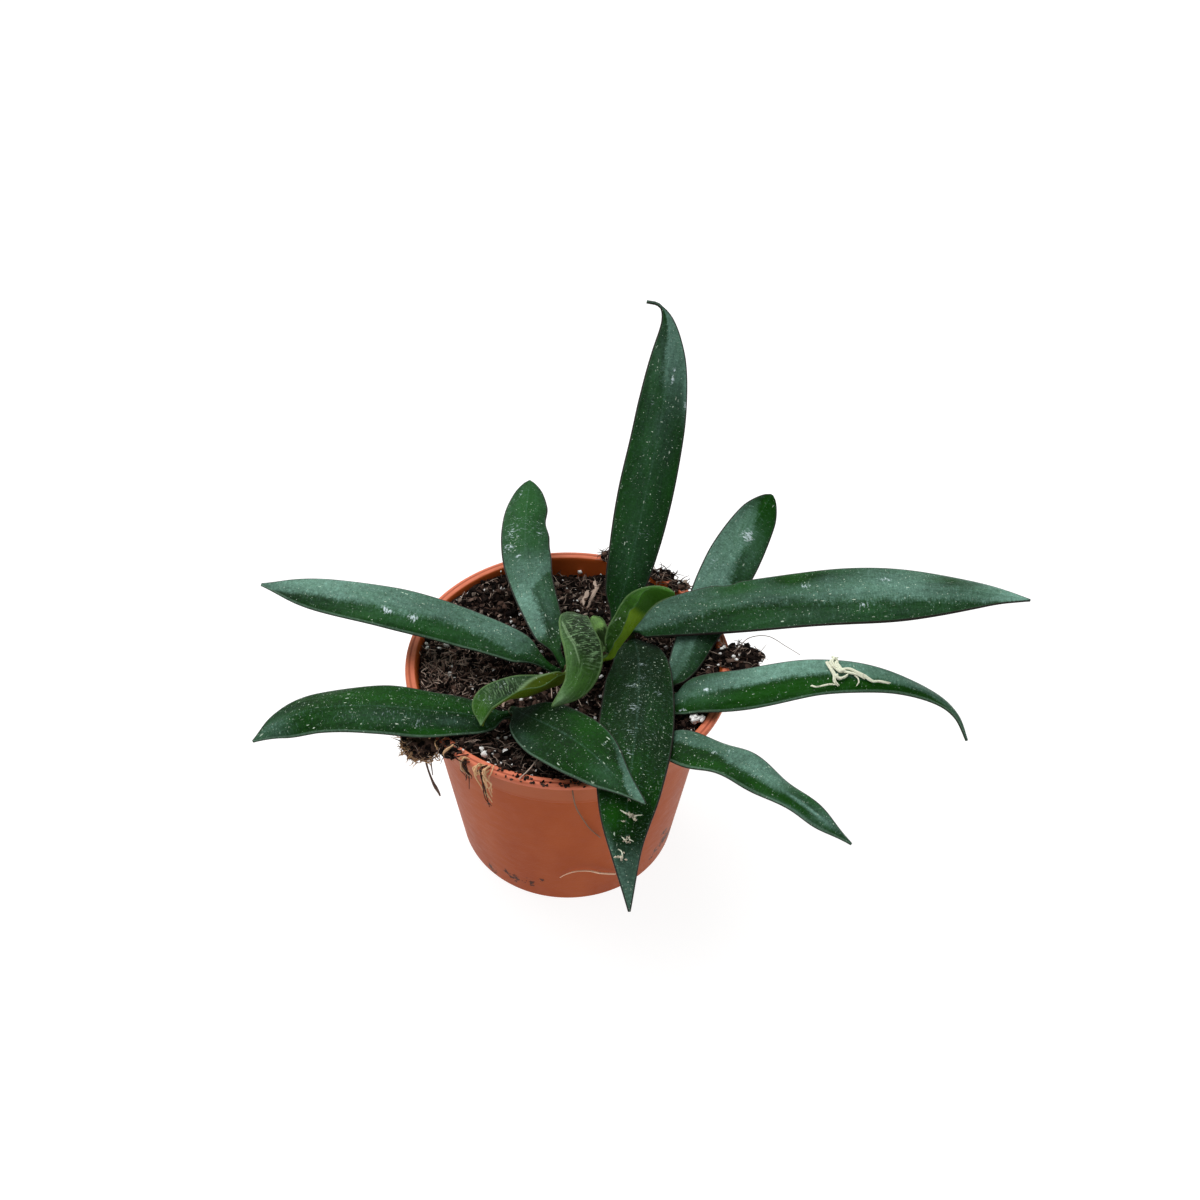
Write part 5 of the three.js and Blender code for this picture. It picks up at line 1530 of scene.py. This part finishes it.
scraps = {
    "bone": (0.8, 0.82, 0.64),
    "straw": (0.95, 0.62, 0.42),
    "ash": (0.3, 0.25, 0.19),
    "roughness": 0.8,
    # flat straps of dry root that lie on the right leaf: path in mm, half width
    "straps": [
        ([(91, -14.6, 107.2), (91.5, -16.7, 107.3), (92.4, -18.8, 107.5), (93.1, -21.1, 107.4),
          (93, -23.5, 106.8), (94.3, -25.3, 106.4)], 0.62),
        ([(93.9, -12.9, 107.4), (92.8, -14.7, 107.4), (93.5, -17.1, 107.6), (94.6, -18.8, 107.8),
          (95.8, -19.8, 107.8), (97, -18.6, 107.6)], 0.85),
        ([(94.4, -14.6, 107.3), (94.8, -17, 107.6), (96, -19, 107.8), (97.4, -20, 107.7)], 0.8),
        ([(93.8, -20.8, 107.4), (94, -21.8, 107.3), (94.9, -22.4, 107.2), (96.6, -21.9, 107.3),
          (97.7, -20.7, 107.5)], 0.6),
        ([(96, -18.4, 107.6), (98.6, -18.4, 107.9), (100.7, -19.6, 107.9), (103.3, -21.3, 107.7),
          (104.5, -22.4, 107.4), (106.2, -23.4, 107.2), (108.5, -23.1, 107), (112.3, -23.7, 106.7)], 0.6),
        ([(97, -19.6, 107.6), (99.3, -20.4, 107.8), (101.4, -20.9, 107.7), (103.7, -22.4, 107.3)], 0.5),
        ([(100.2, -21.1, 107.4), (101.3, -22.5, 107.1), (101.3, -23.9, 106.8), (100.4, -25.3, 106.6)], 0.28),
        ([(85, -24.3, 105), (86.7, -25.2, 105.5), (89.2, -24.8, 105.8), (91.4, -24.5, 106.2),
          (93.6, -24.7, 106.3)], 0.45),
        ([(93.3, -12, 107.3), (95, -13.9, 107.4)], 0.4),
        ([(95.2, -12.3, 107.2), (93.1, -14.1, 107.3)], 0.4),
    ],
    # a dry leaf end on the soil behind the middle leaf's tip
    "dryEnd": ([(0.9, -14.2, 85.6), (3, -12.9, 86), (6, -12.2, 85.6)], 0.9),
    # the thin root on the pot's wall
    "wallRoot": ([(-1.4, -46.2, 18.6), (1, -47, 22), (5, -47.8, 25.2), (9.5, -47.2, 24.8),
                  (13.7, -45.6, 21.4), (19.5, -42, 16)], 0.3),
    # dried bits on the front leaf near its tip: place and size
    "driedBits": [
        ((22.6, -72.9, 92.3), 1.9), ((23.9, -73.4, 91.8), 1.5), ((21.6, -79.6, 87.2), 1.2),
        ((22.4, -79, 87.6), 1.0), ((20.4, -83.4, 83.8), 1.7), ((22.1, -68.6, 95.2), 0.7),
        ((20.6, -74.6, 91.2), 0.6),
    ],
    "bitPieces": 9,
}


def makeScraps():
    finish, tree, surface = newFinish("dryRoot")
    place = objectPlace(tree)
    clouds = cloudsOf(tree, place, 700, 4, 0.7)
    tone = partsOf(tree, attributeOf(tree, "tone"))
    colour = blendOf(tree, tone[0], scraps["bone"], scraps["ash"])
    colour = blendOf(tree, tone[1], colour, scraps["straw"])
    colour = blendOf(tree, rangeOf(tree, clouds, 0.52, 0.7, 0, 0.6), colour, scraps["ash"])
    feed(tree, surface.inputs["Base Color"], colour)
    surface.inputs["Roughness"].default_value = scraps["roughness"]
    rng = np.random.default_rng(soil["seed"] + 4)
    heap = Heap()
    for path, half in [*scraps["straps"], scraps["dryEnd"]]:
        # two thin strands side by side, so that a strap looks split
        for side in (-0.4, 0.4):
            moved = [np.array(at) + (side * half, side * half * 0.6, rng.normal() * 0.08) for at in path]
            radii = half * rng.uniform(0.4, 0.85, size=6)
            radii[-1] = half * 0.25
            points, faces = tube(moved, list(radii), 6, 26)
            heap.add(points, faces, (0.12 * rng.random(), 0, 0))
    path, radius = scraps["wallRoot"]
    points, faces = tube(path, [radius * v for v in (0.45, 0.8, 1.2, 1.1)], 6, 40)
    heap.add(points, faces, (0, 1, 0))
    ball = ballMesh(1)
    for spot, size in scraps["driedBits"]:
        for _ in range(scraps["bitPieces"]):
            at = np.array(spot) + rng.normal(size=3) * (size * 0.42, size * 0.42, 0.15)
            heap.add((pebble(rng, size * rng.uniform(0.2, 0.45), ball) + at) * mm, ball[1],
                     (rng.uniform(0.5, 1), 0.1 * rng.random(), 0))
        points, faces = fibre(rng, spot, size * 2, size * 0.2, 0.15)
        heap.add(points, faces, (0, 0, 0))
    heap.place("dry_scraps", finish, "soil")


makeCamera()
makeStudio()
makeLeaves()
makeStems()
makePot()
soilSkin = soilFinish("pottingSoil")
makeSoilBed(soilSkin)
makeCrumbs(soilSkin)
makeFibres(soilSkin)
makeChips(soilSkin)
makeRootlets(soilSkin)
print("soil made")
makePerlite()
makeScraps()
print("perlite and dry scraps made")
